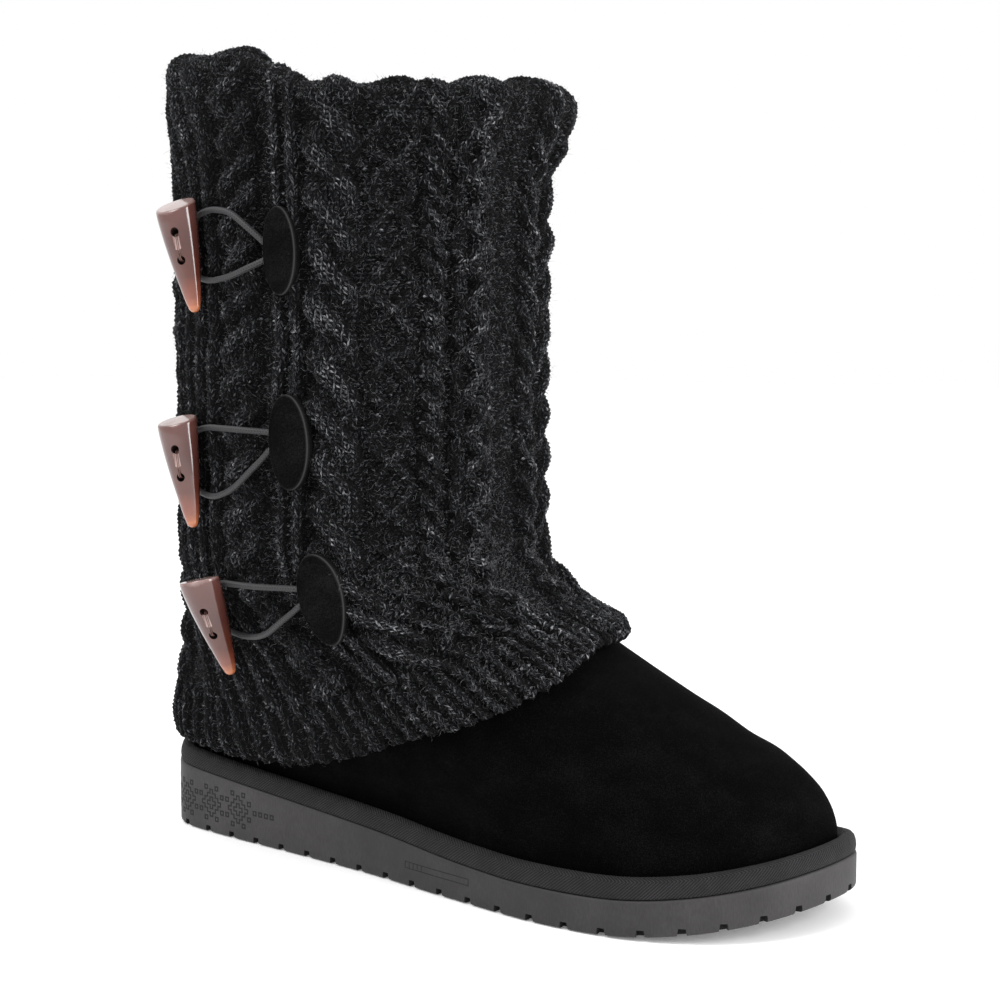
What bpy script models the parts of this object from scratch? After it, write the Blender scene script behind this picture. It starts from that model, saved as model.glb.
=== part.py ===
"""Mukluk boot for the right foot: wedge sole, suede inner boot, knitted cover and three toggles.

Metres, +Z up, +X towards the toe and +Y towards the inner side of the foot.
The origin is on the floor under the middle of the heel.

Every ring that goes round the foot is walked by one angle: 0 at the back of the heel, a
quarter turn on the outer (lateral) side, half a turn at the toe, three quarters on the inner
(medial) side. Lengths along the foot are counted from the back of the sole, and are moved to
the origin when a mesh is made.
"""
import math

import bmesh
import bpy
from mathutils import Matrix, Vector

# Sole
SOLE_LENGTH = 0.276
BALL_WIDTH = 0.0977
HEEL_SOLE = 0.0260          # thickness under the heel
BALL_SOLE = 0.0121          # thickness under the ball and the toes
TOE_SPRING = 0.0094         # how far the toe's tip stands off the floor
TOE_SPRING_START = 0.75     # share of the length where the sole leaves the floor
HEEL_CENTRE = 0.036         # from the back of the sole to the origin
SOLE_EDGE = 0.0007          # small chamfer at the top and bottom edges

# Tread
NOTCH_PITCH = 0.01315       # along the sole's edge
NOTCH_FIRST = 0.0044        # from the back of the heel to the first notch
NOTCH_WIDTH = 0.0024
NOTCH_DEPTH = 0.0034
NOTCH_HEIGHT = 0.0021
GROOVE_WIDTH = 0.0024
GROOVE_DEPTH = 0.0018
GROOVE_RIM = 0.0090         # solid border left round the grooves
WAIST_POCKET_DEPTH = 0.0020

# Foxing band round the top of the sole
BAND_HEIGHT = 0.0065
BAND_WALL = 0.0062

# Upper
UPPER_WALL = 0.0030         # suede with its pile lining
INSTEP_HEIGHT = 0.120       # where the front of the shaft turns upright
SHAFT_DEPTH = 0.137         # suede shaft, front to back
SHAFT_WIDTH = 0.114         # suede shaft, side to side
SHAFT_CENTRE = 0.0802       # from the back of the sole
INSOLE_THICKNESS = 0.005
INSOLE_CLEARANCE = 0.0016

# Knitted cover
BOOT_HEIGHT = 0.2945        # top of the knitted fold above the floor
KNIT_WALL = 0.0040
KNIT_CLEARANCE = 0.0014     # between the knit and the suede
ROPE_HEIGHT = 0.0020        # how far the cable ropes stand out of the knit
FOLD_DEPTH = 0.030          # how far the knit turns down inside the shaft
HEM_FLARE = 0.0020
COLLAR_FLARE = 0.0048

# Toggles, elastic loops and their suede patches
TOGGLE_LENGTH = 0.039
TOGGLE_WIDTH = 0.0148
TOGGLE_THICKNESS = 0.0118
TOGGLE_TIP = 0.0030
TOGGLE_HOLE = 0.0031
TOGGLE_HOLE_PITCH = 0.0100
LOOP_CORD = 0.0022
LOOP_END_SPREAD = 0.0065    # between a loop's two ends at its patch
LOOP_END_GAP = 0.0007       # from a loop's ends to the patch's edge
LOOP_MIDDLE = 0.11          # middle of a loop above its toggle's middle, as a share of its length
POINTS_PER_STEP = 2         # points on a loop for each row of its route
PATCH_LENGTH = 0.034
PATCH_WIDTH = 0.0170
PATCH_THICKNESS = 0.0022

GAP = 0.0003                # between pieces that touch
SEEK_STEPS = 24             # rounds of stepping to a stated height on the knit
FOOT_AROUND = 60            # points round the sole, band, upper and insole
KNIT_AROUND = 72            # points round the knitted cover
ROPE_REACH = 0.08           # radians round the leg over which a rope lifts what lies on the knit

# Outline of the sole: place as a share of SOLE_LENGTH, half widths as shares of BALL_WIDTH
OUTLINE = (
    # along, lateral, medial
    (0.000, 0.000, 0.000),
    (0.020, 0.229, 0.203),
    (0.080, 0.367, 0.333),
    (0.180, 0.390, 0.373),
    (0.300, 0.400, 0.362),
    (0.430, 0.420, 0.367),
    (0.560, 0.462, 0.429),
    (0.700, 0.492, 0.503),
    (0.800, 0.466, 0.510),
    (0.890, 0.367, 0.480),
    (0.955, 0.201, 0.390),
    (0.985, 0.042, 0.311),
    (1.000, -0.170, 0.170),
)

# Wedge: thickness of the sole as a share of the step from BALL_SOLE up to HEEL_SOLE
SOLE_TOP = (
    # along, thickness
    (0.00, 1.00),
    (0.22, 0.65),
    (0.34, 0.46),
    (0.47, 0.27),
    (0.60, 0.06),
    (0.68, 0.00),
    (1.00, 0.00),
)

# Rings of the suede upper over the foot. The level runs from the sole, 0, to INSTEP_HEIGHT, 1.
# Toe and heel are shares of the way out from the shaft's oval to the edge of the sole, width is
# a share of the sole's width, and the last two are how far the ring's heel and toe halves have
# become the shaft's oval.
FOOT_RINGS = (
    # level, toe, heel, width, oval at heel, oval at toe
    (0.000, 1.000, 1.00, 1.000, 0.00, 0.00),
    (0.075, 1.000, 1.00, 1.000, 0.00, 0.00),
    (0.130, 0.988, 1.15, 1.020, 0.10, 0.00),
    (0.195, 0.960, 1.26, 1.025, 0.26, 0.00),
    (0.260, 0.916, 1.24, 1.005, 0.42, 0.02),
    (0.330, 0.848, 1.16, 0.960, 0.56, 0.05),
    (0.400, 0.750, 1.00, 0.905, 0.68, 0.10),
    (0.500, 0.590, 0.68, 0.830, 0.82, 0.24),
    (0.600, 0.418, 0.36, 0.760, 0.91, 0.45),
    (0.670, 0.292, 0.18, 0.730, 0.95, 0.62),
    (0.750, 0.158, 0.07, 0.710, 0.98, 0.80),
    (0.830, 0.067, 0.02, 0.700, 0.99, 0.92),
    (0.920, 0.015, 0.00, 0.700, 1.00, 0.98),
    (1.000, 0.000, 0.00, 0.700, 1.00, 1.00),
)

# Rings of the shaft. The rise runs from INSTEP_HEIGHT, 0, to the suede's rim, 1.
SHAFT_RINGS = (
    # rise, depth, width
    (0.00, 1.000, 1.000),
    (0.30, 0.992, 1.000),
    (0.60, 1.000, 1.000),
    (0.85, 1.008, 1.005),
    (1.00, 1.016, 1.010),
)

# Top edge of the knitted fold round the leg, as a share of BOOT_HEIGHT
COLLAR = (
    # degrees, height
    (0, 0.996),
    (40, 1.000),
    (68, 0.996),
    (96, 0.980),
    (112, 0.950),
    (145, 0.947),
    (180, 0.956),
    (215, 0.958),
    (270, 0.966),
    (325, 0.985),
    (360, 0.996),
)

# How far the fold swells outwards round the leg, as a share of COLLAR_FLARE
COLLAR_SWELL = (
    # degrees, swell
    (0, 0.4),
    (45, 0.3),
    (90, 0.5),
    (130, 1.0),
    (165, 1.5),
    (195, 2.1),
    (225, 1.6),
    (270, 0.9),
    (330, 0.5),
    (360, 0.4),
)

# Hem of the knit on the foot, as a level of FOOT_RINGS. It dips on the outer side of the instep.
HEM = (
    # share of the way to the toe, lateral, medial
    (0.00, 0.130, 0.130),
    (0.10, 0.130, 0.130),
    (0.20, 0.143, 0.145),
    (0.30, 0.182, 0.186),
    (0.39, 0.240, 0.250),
    (0.48, 0.312, 0.332),
    (0.60, 0.400, 0.440),
    (0.74, 0.475, 0.545),
    (0.92, 0.580, 0.650),
    (1.00, 0.648, 0.648),
)

# Cable ropes of the knit: middle and half width in degrees round the leg, height of ROPE_HEIGHT
ROPES = (
    # middle, half width, height
    (26, 9, 0.9),
    (87.5, 7.5, 0.8),
    (118, 8, 1.2),
    (149, 5, 0.7),
    (161, 8, 1.0),
    (187, 6, 0.8),
    (206, 8, 1.0),
    (240, 8, 1.2),
    (272.5, 7.5, 0.8),
    (302, 6, 0.7),
    (334, 9, 0.9),
)

# Outside of the knit from the hem to the collar. Below the instep the way runs from the hem, 0,
# to INSTEP_HEIGHT, 1; above it, on to the suede's rim, 2. Hem and collar are shares of the
# flares there, rope is how much of the ropes shows, and wall is a share of KNIT_WALL.
KNIT_ROWS = (
    # way, hem, collar, rope, wall
    (0.00, 1.0, 0.00, 0.0, 0.55),
    (0.05, 1.0, 0.00, 0.0, 1.05),
    (0.22, 0.6, 0.00, 0.0, 1.00),
    (0.40, 0.2, 0.00, 0.0, 0.95),
    (0.52, 0.1, 0.00, 0.8, 1.00),
    (0.76, 0.0, 0.00, 1.0, 1.00),
    (1.00, 0.0, 0.00, 1.0, 1.00),
    (1.40, 0.0, 0.00, 1.0, 1.00),
    (1.78, 0.0, 0.05, 1.0, 1.00),
    (1.87, 0.0, 0.40, 0.9, 1.00),
    (1.94, 0.0, 0.90, 0.7, 1.00),
    (2.00, 0.0, 1.00, 0.4, 1.00),
)
KNIT_INNER_WAYS = (1.4, 1.0, 0.85, 0.65, 0.45, 0.22, 0.0)
FOLD_TURNS = (28, 68, 112, 152)         # degrees over the top of the fold

UPPER_OUTER_LEVELS = (0, 0.075, 0.13, 0.195, 0.26, 0.33, 0.4, 0.5, 0.6, 0.68, 0.76, 0.85, 1, 1.4, 2)
UPPER_INNER_LEVELS = (2, 1.4, 1, 0.83, 0.67, 0.5, 0.36, 0.22, 0)

# Toggle sets down the outer side. Along is a share of SHAFT_DEPTH from the shaft's back, heights
# are shares of BOOT_HEIGHT, lean and turn are in degrees, and strands is the height between the
# loop's two strands behind the toggle, as a share of TOGGLE_LENGTH.
TOGGLE_SETS = (
    # toggle along, toggle height, lean, patch along, patch height, turn, strands
    (0.350, 0.746, -15.0, 0.645, 0.751, 2.0, 0.64),
    (0.335, 0.484, -12.0, 0.657, 0.527, 3.0, 0.64),
    (0.405, 0.303, -2.0, 0.738, 0.342, 14.0, 0.52),
)

# Horn toggle from its flat top, 0, to its blunt tip, 1. Width is a share of TOGGLE_WIDTH and of
# TOGGLE_THICKNESS, and bend is how far the body turns in to the leg, of TOGGLE_THICKNESS.
TOGGLE_SECTION = (
    # down, width, bend
    (0.00, 0.93, 0.00),
    (0.02, 1.00, 0.00),
    (0.25, 0.91, 0.05),
    (0.50, 0.74, 0.13),
    (0.75, 0.52, 0.22),
    (0.92, 0.34, 0.27),
    (1.00, 0.14, 0.29),
)

# One elastic loop from its patch, round behind the toggle and back. Reach is a share of the way
# from the toggle to the patch, and rise is how far the cord has left the height of its end at
# the patch for the strand's own height.
LOOP_ROUTE = (
    # reach, strand, rise
    (1.00, 1, 0.00),
    (0.80, 1, 0.45),
    (0.50, 1, 0.92),
    (0.18, 1, 1.00),
    (-0.12, 1, 0.85),
    (-0.24, 1, 0.35),
    (-0.24, -1, 0.35),
    (-0.12, -1, 0.85),
    (0.18, -1, 1.00),
    (0.50, -1, 0.85),
    (0.80, -1, 0.40),
    (1.00, -1, 0.00),
)

def smooth(rows, at, column=1):
    """Value of a table's column at a place, on a curve that never overshoots its rows."""
    places = [row[0] for row in rows]
    at = min(max(at, places[0]), places[-1])
    last = len(rows) - 2
    k = 0
    while k < last and at > places[k + 1]:
        k += 1

    def secant(i):
        return (rows[i + 1][column] - rows[i][column]) / (places[i + 1] - places[i])

    def slope(i):
        if i == 0:
            return secant(0)
        if i == len(rows) - 1:
            return secant(i - 1)
        before, after = secant(i - 1), secant(i)
        if before * after <= 0.0:
            return 0.0
        return 2.0 * before * after / (before + after)

    step = places[k + 1] - places[k]
    t = (at - places[k]) / step
    start, end = rows[k][column], rows[k + 1][column]
    return (
        start * (2 * t**3 - 3 * t**2 + 1)
        + slope(k) * step * (t**3 - 2 * t**2 + t)
        + end * (3 * t**2 - 2 * t**3)
        + slope(k + 1) * step * (t**3 - t**2)
    )


def mix(a, b, share):
    return a + (b - a) * share


def make_outline():
    """The sole's outline as one closed table: angle round the foot, sideways place."""
    lateral = [(math.acos(1 - 2 * along), -side * BALL_WIDTH) for along, side, _ in OUTLINE]
    medial = [(math.tau - math.acos(1 - 2 * along), side * BALL_WIDTH) for along, _, side in OUTLINE]
    turn = lateral + medial[-2::-1]
    return [(turn[-2][0] - math.tau, turn[-2][1])] + turn + [(turn[1][0] + math.tau, turn[1][1])]


OUTLINE_TURN = make_outline()


def outline_point(angle):
    return Vector((SOLE_LENGTH * (1 - math.cos(angle)) / 2, smooth(OUTLINE_TURN, angle % math.tau), 0.0))


def outline_inward(angle):
    """Unit vector from the outline towards the middle of the sole."""
    nudge = 0.01
    along = outline_point(angle + nudge) - outline_point(angle - nudge)
    return Vector((-along.y, along.x, 0.0)).normalized()


def inset_point(angle, inset):
    return outline_point(angle) + outline_inward(angle) * inset


def floor_lift(x):
    """Height of the sole's underside, which leaves the floor towards the toe."""
    share = (x / SOLE_LENGTH - TOE_SPRING_START) / (1 - TOE_SPRING_START)
    return TOE_SPRING * max(0.0, share) ** 2


def sole_top(x):
    return floor_lift(x) + mix(BALL_SOLE, HEEL_SOLE, smooth(SOLE_TOP, x / SOLE_LENGTH))


def around(count):
    return [math.tau * i / count for i in range(count)]


def rim_height(angle):
    """Top of the suede shaft, just under the knitted fold."""
    return smooth(COLLAR, math.degrees(angle) % 360) * BOOT_HEIGHT - KNIT_WALL - KNIT_CLEARANCE


def upper_point(angle, level):
    """Outer face of the suede: level 0 on the sole, 1 at the instep, 2 at the shaft's rim."""
    oval_x = SHAFT_CENTRE - SHAFT_DEPTH / 2 * math.cos(angle)
    oval_y = -SHAFT_WIDTH / 2 * math.sin(angle)
    if level >= 1.0:
        rise = level - 1.0
        depth = smooth(SHAFT_RINGS, rise, 1)
        width = smooth(SHAFT_RINGS, rise, 2)
        x = SHAFT_CENTRE + (oval_x - SHAFT_CENTRE) * depth
        return Vector((x, oval_y * width, mix(INSTEP_HEIGHT, rim_height(angle), rise)))
    toe, heel, width, oval_heel, oval_toe = (smooth(FOOT_RINGS, level, column) for column in range(1, 6))
    inset = BAND_WALL + GAP
    edge = inset_point(angle, inset)
    back_edge, toe_edge = inset, SOLE_LENGTH - inset
    back_oval, toe_oval = SHAFT_CENTRE - SHAFT_DEPTH / 2, SHAFT_CENTRE + SHAFT_DEPTH / 2
    back = mix(back_oval, back_edge, heel)
    front = mix(toe_oval, toe_edge, toe)
    x = mix(back, front, (edge.x - back_edge) / (toe_edge - back_edge))
    forward = (1 - math.cos(angle)) / 2
    oval = mix(oval_heel, oval_toe, forward)
    x = mix(x, mix(back, front, forward), oval)
    y = mix(edge.y * width, oval_y, oval)
    return Vector((x, y, mix(sole_top(x) + GAP, INSTEP_HEIGHT, level)))


def upper_outward(angle, level):
    """Unit vector out of the suede's surface, level with the floor where it meets the sole."""
    nudge = 0.02
    low, high = max(level - nudge, 0.0), min(level + nudge, 2.0)
    up = upper_point(angle, high) - upper_point(angle, low)
    along = upper_point(angle + nudge, level) - upper_point(angle - nudge, level)
    out = along.cross(up)
    out.z *= min(1.0, level / 0.15)
    return out.normalized()


def off_upper(angle, level, distance):
    return upper_point(angle, level) + upper_outward(angle, level) * distance


def hem_level(angle):
    side = 1 if angle % math.tau < math.pi else 2
    return smooth(HEM, (1 - math.cos(angle)) / 2, side)


def knit_level(angle, way):
    return mix(hem_level(angle), 1.0, way) if way < 1.0 else way


def rope_relief(angle):
    """Height of the cable ropes round the leg, as a share of ROPE_HEIGHT."""
    degrees = math.degrees(angle) % 360
    relief = 0.0
    for middle, half, height in ROPES:
        apart = abs((degrees - middle + 180) % 360 - 180)
        if apart < half:
            relief += height * math.cos(math.pi / 2 * apart / half) ** 2
    return relief


def knit_offset(angle, way):
    """Distance from the suede to the outside of the knit."""
    hem, collar, rope, wall = (smooth(KNIT_ROWS, way, column) for column in (1, 2, 3, 4))
    swell = smooth(COLLAR_SWELL, math.degrees(angle) % 360)
    return (
        KNIT_CLEARANCE
        + KNIT_WALL * wall
        + HEM_FLARE * hem
        + COLLAR_FLARE * swell * collar
        + ROPE_HEIGHT * rope * rope_relief(angle)
    )


def side_point(x, height, stand=0.0):
    """Point on the outer side of the knit at a place along the foot and a height, and its angle.

    The point lies on the knit without its ropes, or `stand` further out.
    """
    angle, level = math.pi / 2, 1.0
    for _ in range(SEEK_STEPS):
        point = off_upper(angle, level, KNIT_CLEARANCE + KNIT_WALL + stand)
        rise = (rim_height(angle) - INSTEP_HEIGHT) if level >= 1.0 else INSTEP_HEIGHT - BALL_SOLE
        angle = min(max(angle + (x - point.x) / SHAFT_DEPTH, 0.2), math.pi - 0.2)
        level = min(max(level + (height - point.z) / rise * 0.8, hem_level(angle)), 2.0)
    return off_upper(angle, level, KNIT_CLEARANCE + KNIT_WALL + stand), angle


def knit_stand(angle, reach):
    """Height of the highest rope within `reach` radians of a place round the leg."""
    return ROPE_HEIGHT * max(rope_relief(angle + reach * k / 6) for k in range(-6, 7))


def make_object(name, mesh, matrix=None):
    thing = bpy.data.objects.new(name, mesh)
    if matrix is not None:
        thing.matrix_world = matrix
    bpy.context.scene.collection.objects.link(thing)
    return thing


def finish_mesh(name, bm, sharp_degrees=40):
    bmesh.ops.recalc_face_normals(bm, faces=bm.faces)
    bmesh.ops.triangulate(bm, faces=bm.faces)
    mesh = bpy.data.meshes.new(name)
    bm.to_mesh(mesh)
    bm.free()
    mesh.shade_smooth()
    mesh.set_sharp_from_angle(angle=math.radians(sharp_degrees))
    return mesh


def loft(name, rings, closed_tube):
    """Closed body through rings of points: a hollow tube, or a slab with a lid at each end."""
    bm = bmesh.new()
    count = len(rings[0])
    shift = Vector((HEEL_CENTRE, 0.0, 0.0))
    loops = [[bm.verts.new(point - shift) for point in ring] for ring in rings]
    joins = list(zip(loops, loops[1:]))
    if closed_tube:
        joins.append((loops[-1], loops[0]))
    for lower, upper in joins:
        for i in range(count):
            j = (i + 1) % count
            bm.faces.new((lower[i], lower[j], upper[j], upper[i]))
    if not closed_tube:
        for loop in (loops[0], loops[-1]):
            for i in range(count // 2):
                a, b = loop[i], loop[i + 1]
                c, d = loop[(count - i - 1) % count], loop[(count - i) % count]
                corners = [a, b] + [corner for corner in (c, d) if corner not in (a, b)]
                bm.faces.new(corners)
    return make_object(name, finish_mesh(name, bm))


def make_cutter(name, prisms):
    """One hidden object of separate prisms, each given as its lower and upper corners."""
    bm = bmesh.new()
    shift = Vector((HEEL_CENTRE, 0.0, 0.0))
    for lower, upper in prisms:
        low = [bm.verts.new(point - shift) for point in lower]
        high = [bm.verts.new(point - shift) for point in upper]
        bm.faces.new(low)
        bm.faces.new(high)
        for i in range(len(low)):
            j = (i + 1) % len(low)
            bm.faces.new((low[i], low[j], high[j], high[i]))
    cutter = make_object(name, finish_mesh(name, bm))
    cutter.hide_render = True
    cutter.display_type = "WIRE"
    return cutter


def cut(thing, cutter):
    boolean = thing.modifiers.new(cutter.name, "BOOLEAN")
    boolean.operation = "DIFFERENCE"
    boolean.object = cutter


def give_material(thing, name, colour, roughness, metallic=0.0):
    material = bpy.data.materials.get(name) or bpy.data.materials.new(name)
    material.use_nodes = True
    shader = material.node_tree.nodes["Principled BSDF"]
    shader.inputs["Base Color"].default_value = (*colour, 1.0)
    shader.inputs["Roughness"].default_value = roughness
    shader.inputs["Metallic"].default_value = metallic
    thing.data.materials.append(material)


def flat_rectangle(centre, along, across, half_along, half_across, z):
    """Corners of a rectangle at height z, going round."""
    corners = []
    for a, b in ((-1, -1), (1, -1), (1, 1), (-1, 1)):
        corner = centre + along * (a * half_along) + across * (b * half_across)
        corners.append(Vector((corner.x, corner.y, z)))
    return corners


def notch_prisms():
    """Tapered notches at even steps of arc round the sole's lower edge."""
    steps = 720
    points = [outline_point(math.tau * i / steps) for i in range(steps + 1)]
    arcs = [0.0]
    for a, b in zip(points, points[1:]):
        arcs.append(arcs[-1] + (b - a).length)
    count = round(arcs[-1] / NOTCH_PITCH)
    prisms = []
    i = 0
    for k in range(count):
        arc = NOTCH_FIRST + arcs[-1] * k / count
        while arcs[i + 1] < arc:
            i += 1
        angle = math.tau * (i + (arc - arcs[i]) / (arcs[i + 1] - arcs[i])) / steps
        inward = outline_inward(angle)
        along = Vector((-inward.y, inward.x, 0.0))
        centre = outline_point(angle)
        lift = floor_lift(centre.x)
        lower = flat_rectangle(centre, along, inward, NOTCH_WIDTH * 0.62, NOTCH_DEPTH, lift - NOTCH_HEIGHT)
        upper = flat_rectangle(centre, along, inward, NOTCH_WIDTH * 0.40, NOTCH_DEPTH, lift + NOTCH_HEIGHT)
        prisms.append((lower, upper))
    return prisms


def half_widths(x):
    """Lateral and medial half width of the sole at a place along it."""
    angle = math.acos(min(max(1 - 2 * x / SOLE_LENGTH, -1.0), 1.0))
    return -outline_point(angle).y, outline_point(math.tau - angle).y


def groove_prisms():
    """Chevron grooves across the tread of the heel and the forefoot, two arms to a groove."""
    prisms = []
    for first, last in ((0.06, 0.31), (0.50, 0.90)):
        k_first = math.ceil((first * SOLE_LENGTH - HEEL_CENTRE) / NOTCH_PITCH - 0.5)
        k_last = math.floor((last * SOLE_LENGTH - HEEL_CENTRE) / NOTCH_PITCH - 0.5)
        for k in range(k_first, k_last + 1):
            x = HEEL_CENTRE + (k + 0.5) * NOTCH_PITCH
            lateral, medial = half_widths(x)
            left, right = -lateral + GROOVE_RIM, medial - GROOVE_RIM
            middle = (left + right) / 2
            top = floor_lift(x) + GROOVE_DEPTH
            half = GROOVE_WIDTH / 2
            dip = GROOVE_WIDTH
            outline = (
                (left, 0.0), (middle, dip), (right, 0.0),
                (right, GROOVE_WIDTH), (middle, dip + GROOVE_WIDTH), (left, GROOVE_WIDTH),
            )
            ring = [(x + forward - half - dip / 2, side) for side, forward in outline]
            lower = [Vector((a, b, top - 2 * GROOVE_DEPTH)) for a, b in ring]
            upper = [Vector((a, b, top)) for a, b in ring]
            prisms.append((lower, upper))
    return prisms


def waist_prism():
    """Shallow pocket under the arch, where the tread stops."""
    lateral, medial = half_widths(0.40 * SOLE_LENGTH)
    left, right = -lateral + GROOVE_RIM, medial - GROOVE_RIM
    back, front = 0.345 * SOLE_LENGTH, 0.475 * SOLE_LENGTH
    bow = (right - left) * 0.25
    ring = ((back, left + bow), (back, right - bow), (back + bow, right), (front - bow, right),
            (front, right - bow), (front, left + bow), (front - bow, left), (back + bow, left))
    lower = [Vector((a, b, -WAIST_POCKET_DEPTH)) for a, b in ring]
    upper = [Vector((a, b, WAIST_POCKET_DEPTH)) for a, b in ring]
    return lower, upper


def make_outsole():
    rings = []
    for inset, from_top, z in (
        (SOLE_EDGE, False, 0.0),
        (0.0, False, SOLE_EDGE),
        (0.0, True, -SOLE_EDGE),
        (SOLE_EDGE, True, 0.0),
    ):
        ring = []
        for angle in around(FOOT_AROUND):
            point = inset_point(angle, inset)
            base = sole_top(point.x) if from_top else floor_lift(point.x)
            ring.append(Vector((point.x, point.y, base + z)))
        rings.append(ring)
    sole = loft("outsole", rings, closed_tube=False)
    cut(sole, make_cutter("notch_cutter", notch_prisms()))
    cut(sole, make_cutter("groove_cutter", groove_prisms() + [waist_prism()]))
    give_material(sole, "moulded_eva", (0.105, 0.100, 0.105), 0.72)


def make_band():
    section = (
        # share of BAND_WALL inwards, share of BAND_HEIGHT up
        (0.06, 0.00),
        (0.09, 0.55),
        (0.25, 0.88),
        (0.55, 1.00),
        (1.00, 0.80),
        (1.00, 0.00),
    )
    rings = []
    for inward, up in section:
        ring = []
        for angle in around(FOOT_AROUND):
            point = inset_point(angle, BAND_WALL * inward)
            ring.append(Vector((point.x, point.y, sole_top(point.x) + GAP + BAND_HEIGHT * up)))
        rings.append(ring)
    band = loft("foxing_band", rings, closed_tube=True)
    give_material(band, "ribbed_rubber_tape", (0.045, 0.043, 0.045), 0.80)


def make_insole():
    rings = []
    inset = BAND_WALL + GAP + UPPER_WALL + INSOLE_CLEARANCE
    for extra, up in ((0.0, 0.0), (0.0, 0.7), (0.3, 1.0)):
        ring = []
        for angle in around(FOOT_AROUND):
            point = inset_point(angle, inset + INSOLE_THICKNESS * extra)
            ring.append(Vector((point.x, point.y, sole_top(point.x) + GAP + INSOLE_THICKNESS * up)))
        rings.append(ring)
    insole = loft("insole", rings, closed_tube=False)
    give_material(insole, "pile_footbed", (0.16, 0.155, 0.15), 0.95)


def make_upper():
    angles = around(FOOT_AROUND)
    rings = [[upper_point(angle, level) for angle in angles] for level in UPPER_OUTER_LEVELS]
    for level in UPPER_INNER_LEVELS:
        rings.append([off_upper(angle, level, -UPPER_WALL) for angle in angles])
    upper = loft("suede_upper", rings, closed_tube=True)
    give_material(upper, "black_suede", (0.012, 0.012, 0.013), 0.95)


def make_knit():
    angles = around(KNIT_AROUND)
    outer = []
    for way, *_ in KNIT_ROWS:
        outer.append([off_upper(a, knit_level(a, way), knit_offset(a, way)) for a in angles])
    lip_inner = -(UPPER_WALL + KNIT_CLEARANCE)
    lip_outer = lip_inner - KNIT_WALL
    fold = []
    for turn in FOLD_TURNS:
        ring = []
        for a in angles:
            far = knit_offset(a, 2.0)
            middle, half = (far + lip_outer) / 2, (far - lip_outer) / 2
            point = off_upper(a, 2.0, middle + half * math.cos(math.radians(turn)))
            point.z += (KNIT_WALL + KNIT_CLEARANCE) * math.sin(math.radians(turn))
            ring.append(point)
        fold.append(ring)

    def down_inside(distance, depth):
        ring = []
        for a in angles:
            point = off_upper(a, 2.0, distance)
            ring.append(Vector((point.x, point.y, rim_height(a) - depth)))
        return ring

    lip = [
        down_inside(lip_outer, 0.0),
        down_inside(lip_outer, FOLD_DEPTH),
        down_inside(lip_inner, FOLD_DEPTH),
        down_inside(lip_inner, -KNIT_CLEARANCE / 2),
    ]
    over_rim = [down_inside(KNIT_CLEARANCE, -KNIT_CLEARANCE / 2)]
    inner = []
    for way in KNIT_INNER_WAYS:
        ring = []
        for a in angles:
            flare = HEM_FLARE * smooth(KNIT_ROWS, way, 1)
            ring.append(off_upper(a, knit_level(a, way), KNIT_CLEARANCE + flare))
        inner.append(ring)
    knit = loft("knit_cover", outer + fold + lip + over_rim + inner, closed_tube=True)
    give_material(knit, "charcoal_knit", (0.030, 0.031, 0.033), 0.97)


def side_frame(x, height):
    """A place on the outer side of the knit with its axes: forward, out of the knit, up along it."""
    step = TOGGLE_LENGTH / 2
    ahead = side_point(x + step / 2, height)[0] - side_point(x - step / 2, height)[0]
    climb = side_point(x, height + step)[0] - side_point(x, height - step)[0]
    ahead.normalize()
    out = ahead.cross(climb).normalized()
    return side_point(x, height)[0], ahead, out, out.cross(ahead)


def toggle_girth(down):
    """Half width, half thickness and bend of the toggle at a share of its length from the top."""
    share, bend = smooth(TOGGLE_SECTION, down, 1), smooth(TOGGLE_SECTION, down, 2)
    half_width = max(TOGGLE_WIDTH * share, TOGGLE_TIP) / 2
    half_thick = max(TOGGLE_THICKNESS * share, TOGGLE_TIP) / 2
    return half_width, half_thick, TOGGLE_THICKNESS * bend


def toggle_stand(frame, lean, cord):
    """Height of the toggle's middle off the knit, so that its back rests on the loop behind it."""
    base, ahead, out, climb = frame
    turn = math.radians(lean)
    stand = LOOP_CORD + TOGGLE_THICKNESS / 2
    for point in cord:
        away = point - base
        across = away.dot(ahead) * math.cos(turn) - away.dot(climb) * math.sin(turn)
        up = away.dot(ahead) * math.sin(turn) + away.dot(climb) * math.cos(turn)
        half_width, half_thick, bend = toggle_girth(0.5 - up / TOGGLE_LENGTH)
        if abs(up) < TOGGLE_LENGTH / 2 and abs(across) < half_width:
            back = half_thick * math.sqrt(1 - (across / half_width) ** 2) + bend
            stand = max(stand, away.dot(out) + LOOP_CORD / 2 + GAP + back)
    return stand


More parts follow.
